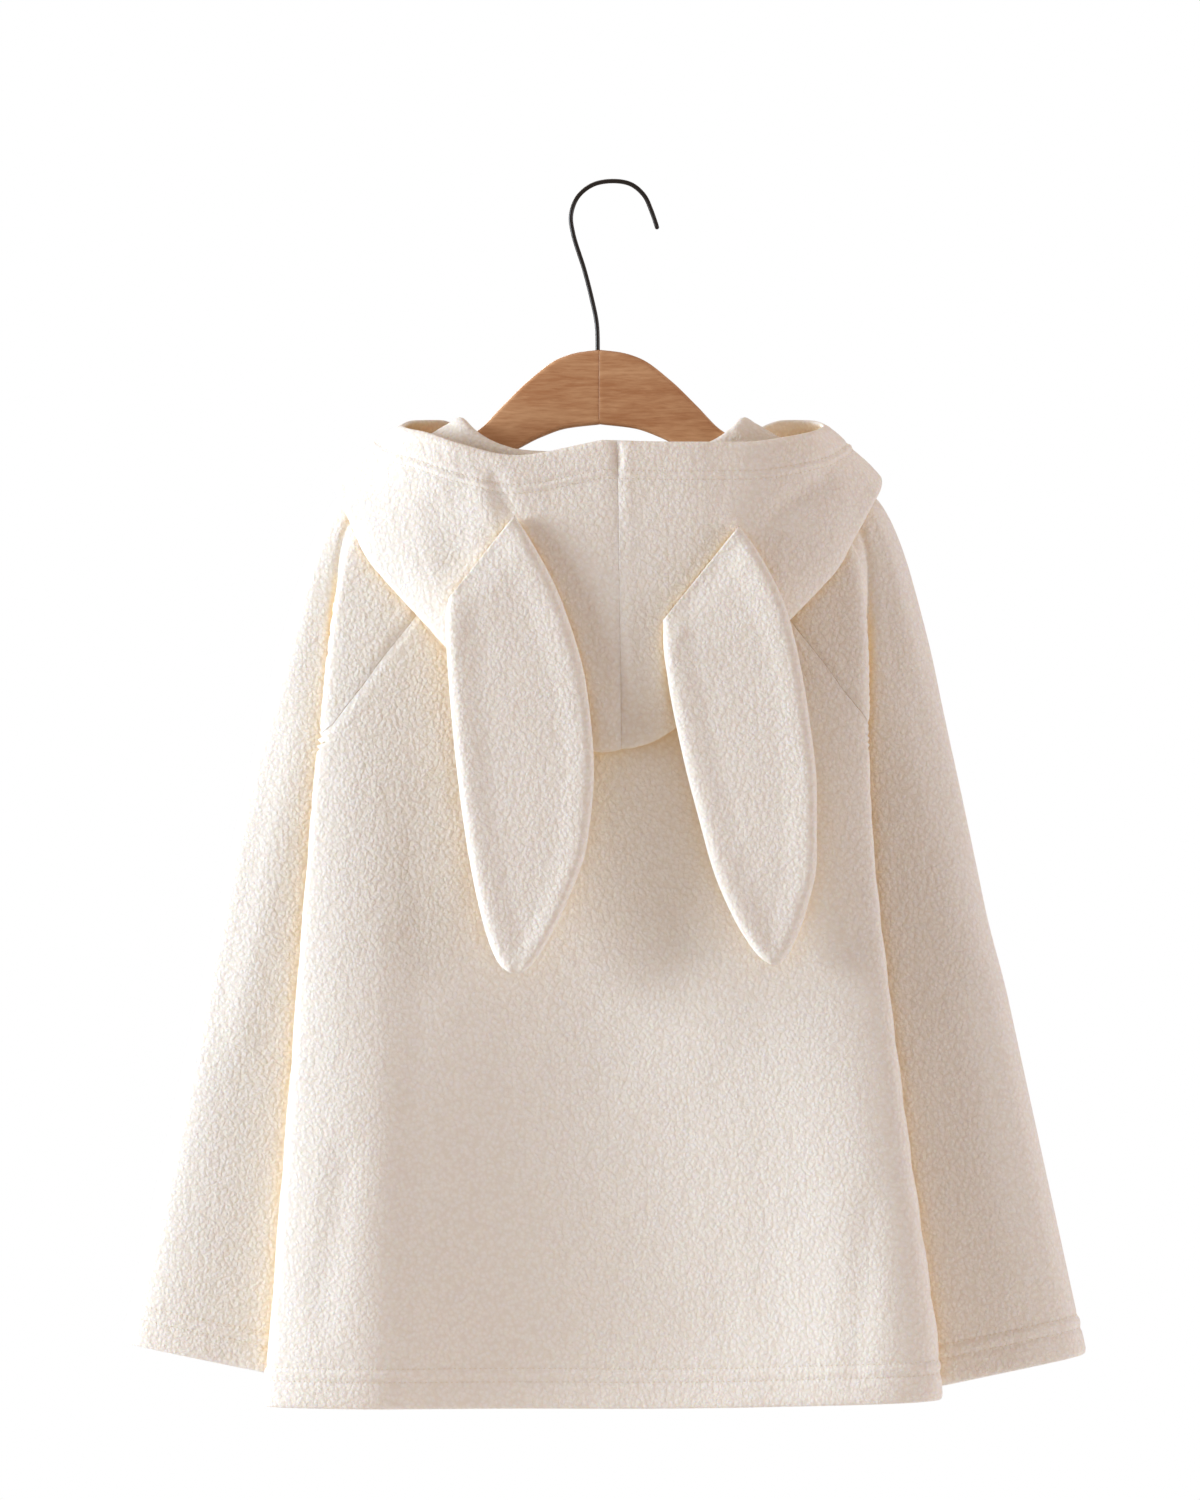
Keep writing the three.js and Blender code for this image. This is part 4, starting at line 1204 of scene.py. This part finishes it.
# Ring round the bar at one place: a rectangle with round corners, drawn in by an inset.
def barRing(x, low, high, inset):
    corner = bar["corner"]
    halfY = bar["thick"] / 2 - corner
    low, high, reach = low + corner, high - corner, corner - inset
    turns = np.linspace(0, math.pi / 2, bar["cornerSteps"])
    ring = []
    corners = ((halfY, high, 0), (-halfY, high, 1), (-halfY, low, 2), (halfY, low, 3))
    for centreY, centreZ, first in corners:
        angles = turns + first * math.pi / 2
        ring += [(x, centreY + reach * math.cos(a), centreZ + reach * math.sin(a)) for a in angles]
    return ring


# Half of the wooden bar, eased at the joint and at its end, with its side of the hook's socket cut out.
def barPiece(name, side, material):
    end = barTop["at"][-1]
    turns = np.linspace(0, math.pi / 2, bar["jointSteps"])
    nearX = sewnGap / 2 + bar["joint"] * (1 - np.cos(turns))
    nearInset = bar["joint"] * (1 - np.sin(turns))
    farX = end - bar["corner"] * (1 - np.sin(turns))
    farInset = bar["corner"] * bar["endInset"] * (1 - np.cos(turns))
    middle = np.linspace(nearX[-1], farX[0], bar["steps"])[1:-1]
    places = np.concatenate([nearX, middle, farX])
    insets = np.concatenate([nearInset, 0 * middle, farInset])
    vertices = []
    for x, inset in zip(places, insets):
        vertices += barRing(x, float(read(barBottom, "z", x)), float(read(barTop, "z", x)), inset)
    vertices = np.array(vertices) * np.array([side, 1, 1]) + np.array([hangerX, 0, 0])
    vertices[:, 0] += bar["jointSkew"] * vertices[:, 1]
    made = meshObject(name, vertices, tubeFaces(len(places), 4 * bar["cornerSteps"]))
    made.data.materials.append(material)
    socketX, top = hookPath[-1][0], barTop["z"][0]
    angles = np.linspace(0, 2 * math.pi, wire["socketSides"], endpoint=False)
    rings = [[(socketX + wire["socket"] * math.cos(a), wire["socket"] * math.sin(a), z) for a in angles]
             for z in (top - wire["depth"], top + wire["depth"])]
    cutter = meshObject(f"{name}_socket", np.array(rings).reshape(-1, 3), tubeFaces(2, len(angles)))
    cut = made.modifiers.new("socket", "BOOLEAN")
    cut.operation = "DIFFERENCE"
    cut.object = cutter
    cut.solver = "EXACT"
    fresh = made.evaluated_get(bpy.context.evaluated_depsgraph_get())
    made.data = bpy.data.meshes.new_from_object(fresh)
    made.modifiers.clear()
    bpy.data.objects.remove(cutter)
    made.data.set_sharp_from_angle(angle=math.radians(bar["sharpDegrees"]))
    return made


# The hook: round wire along its path, with a rounded free end.
def hookPiece(name):
    guides = np.array([[(x, 0, z) for x, z in hookPath]], float)
    middle = curveAt(guides, np.linspace(0, 1, wire["steps"])[None])[0]
    along = unit(np.gradient(middle, axis=0))
    radii = np.full(len(middle), wire["radius"])
    turns = np.linspace(0, math.pi / 2, wire["tipSteps"], endpoint=False)
    tip = middle[0] - along[0] * (wire["radius"] * np.cos(turns))[:, None]
    skip = wire["tipSkip"]
    middle = np.concatenate([tip + along[0] * wire["radius"], middle[skip:]])
    along = np.concatenate([np.repeat(along[:1], len(turns), axis=0), along[skip:]])
    radii = np.concatenate([np.maximum(wire["radius"] * np.sin(turns), wire["tipLeast"]), radii[skip:]])
    side = np.cross(along, (0, 1, 0))
    angles = np.linspace(0, 2 * math.pi, wire["sides"], endpoint=False)
    rings = [m + r * (np.outer(np.cos(angles), s) + np.outer(np.sin(angles), (0, 1, 0)))
             for m, r, s in zip(middle, radii, side)]
    made = meshObject(name, np.concatenate(rings), tubeFaces(len(rings), wire["sides"]))
    made.data.materials.append(wireMaterial())
    return made


for side, label in ((-1, "left"), (1, "right")):
    arm = barPiece(f"bar_{label}_beech", side, beechMaterial(f"varnished beech {label}", side))
    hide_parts(f"hanger_bar_{label}")
hook = hookPiece("hook_wire")
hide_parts("hanger_hook")
print("hanger made")


# Cut sizes of the cloth pieces in metres, width and length, and the area that shows.
cuts = [
    (back, (0.56, 0.60), 0.22),
    (front, (0.51, 0.60), 0.2),
    (sleeves[0], (0.31, 0.60), 0.125),
    (sleeves[1], (0.31, 0.60), 0.125),
    (hoodHalves[0], (0.33, 0.37), 0.066),
    (hoodHalves[1], (0.33, 0.37), 0.063),
]
cuts += [(piece, (0.095, 0.27), 0.0205) for piece in earPieces]


studio = {
    "floorZ": -1.35,
    "floorRadius": 0.95,
    "floorSides": 96,
    "lookX": -0.0066,
    "lookZ": -0.340,
    "away": 5.0,
    "lens": 200,
    "sensor": 36,
    "clipEnd": 50,
}
roomLight = {"seen": "#ffffff", "lit": "#ffe2cc", "power": 0.41}
lights = {
    "key": {"place": (-3.0, -0.72, 0.05), "size": 1.4, "power": 122, "code": "#eaf6ff"},
    "top": {"place": (-0.4, 0.3, 2.6), "size": 1.6, "power": 12, "code": "#fff8f0"},
    "low side": {"place": (2.9, -0.8, -0.3), "size": 1.6, "power": 34, "code": "#f4f6ff"},
    "rear": {"place": (-0.9, 2.6, 0.5), "size": 1.8, "power": 42, "code": "#fffaf6"},
}


def floorDisc():
    count, radius, height = studio["floorSides"], studio["floorRadius"], studio["floorZ"]
    mesh = bpy.data.meshes.new("floor")
    angles = [2 * math.pi * k / count for k in range(count)]
    corners = [(radius * math.cos(a), radius * math.sin(a), height) for a in angles]
    mesh.from_pydata(corners, [], [list(range(count))])
    made = bpy.data.objects.new("floor", mesh)
    scene.collection.objects.link(made)
    material = newMaterial("pale floor")
    finish = addNode(material, "ShaderNodeBsdfPrincipled", {
        "Base Color": colour("#efeeec"), "Roughness": 0.8})
    addNode(material, "ShaderNodeOutputMaterial", {"Surface": finish.outputs["BSDF"]})
    mesh.materials.append(material)


def aim(made, place, target):
    made.location = place
    way = Vector(target) - Vector(place)
    made.rotation_euler = way.to_track_quat("-Z", "Y").to_euler()
    scene.collection.objects.link(made)


def softLight(name, target, place, size, power, code):
    light = bpy.data.lights.new(name, "AREA")
    light.shape = "DISK"
    light.size = size
    light.energy = power
    light.color = colour(code)[:3]
    aim(bpy.data.objects.new(name, light), place, target)


# A white room: seen as pure white, while its light on the cloth is warmer and dimmer.
def whiteRoom():
    world = bpy.data.worlds.new("white room")
    scene.world = world
    world.use_nodes = True
    world.node_tree.nodes.clear()
    seen = addNode(world, "ShaderNodeBackground", {"Color": colour(roomLight["seen"]), "Strength": 1.0})
    lit = addNode(world, "ShaderNodeBackground", {
        "Color": colour(roomLight["lit"]), "Strength": roomLight["power"]})
    straight = addNode(world, "ShaderNodeLightPath").outputs["Is Camera Ray"]
    mixed = addNode(world, "ShaderNodeMixShader", {0: straight, 1: lit.outputs[0], 2: seen.outputs[0]})
    addNode(world, "ShaderNodeOutputWorld", {"Surface": mixed.outputs[0]})


floorDisc()
whiteRoom()
centre = (studio["lookX"], 0, studio["lookZ"])
for name, light in lights.items():
    softLight(name, centre, **light)
camera = bpy.data.cameras.new("camera")
camera.lens = studio["lens"]
camera.sensor_width = studio["sensor"]
camera.clip_end = studio["clipEnd"]
camera.dof.use_dof = False
viewer = bpy.data.objects.new("camera", camera)
aim(viewer, (studio["lookX"], -studio["away"], studio["lookZ"]), centre)
scene.camera = viewer
scene.view_settings.view_transform = "Standard"
print("light and camera set")
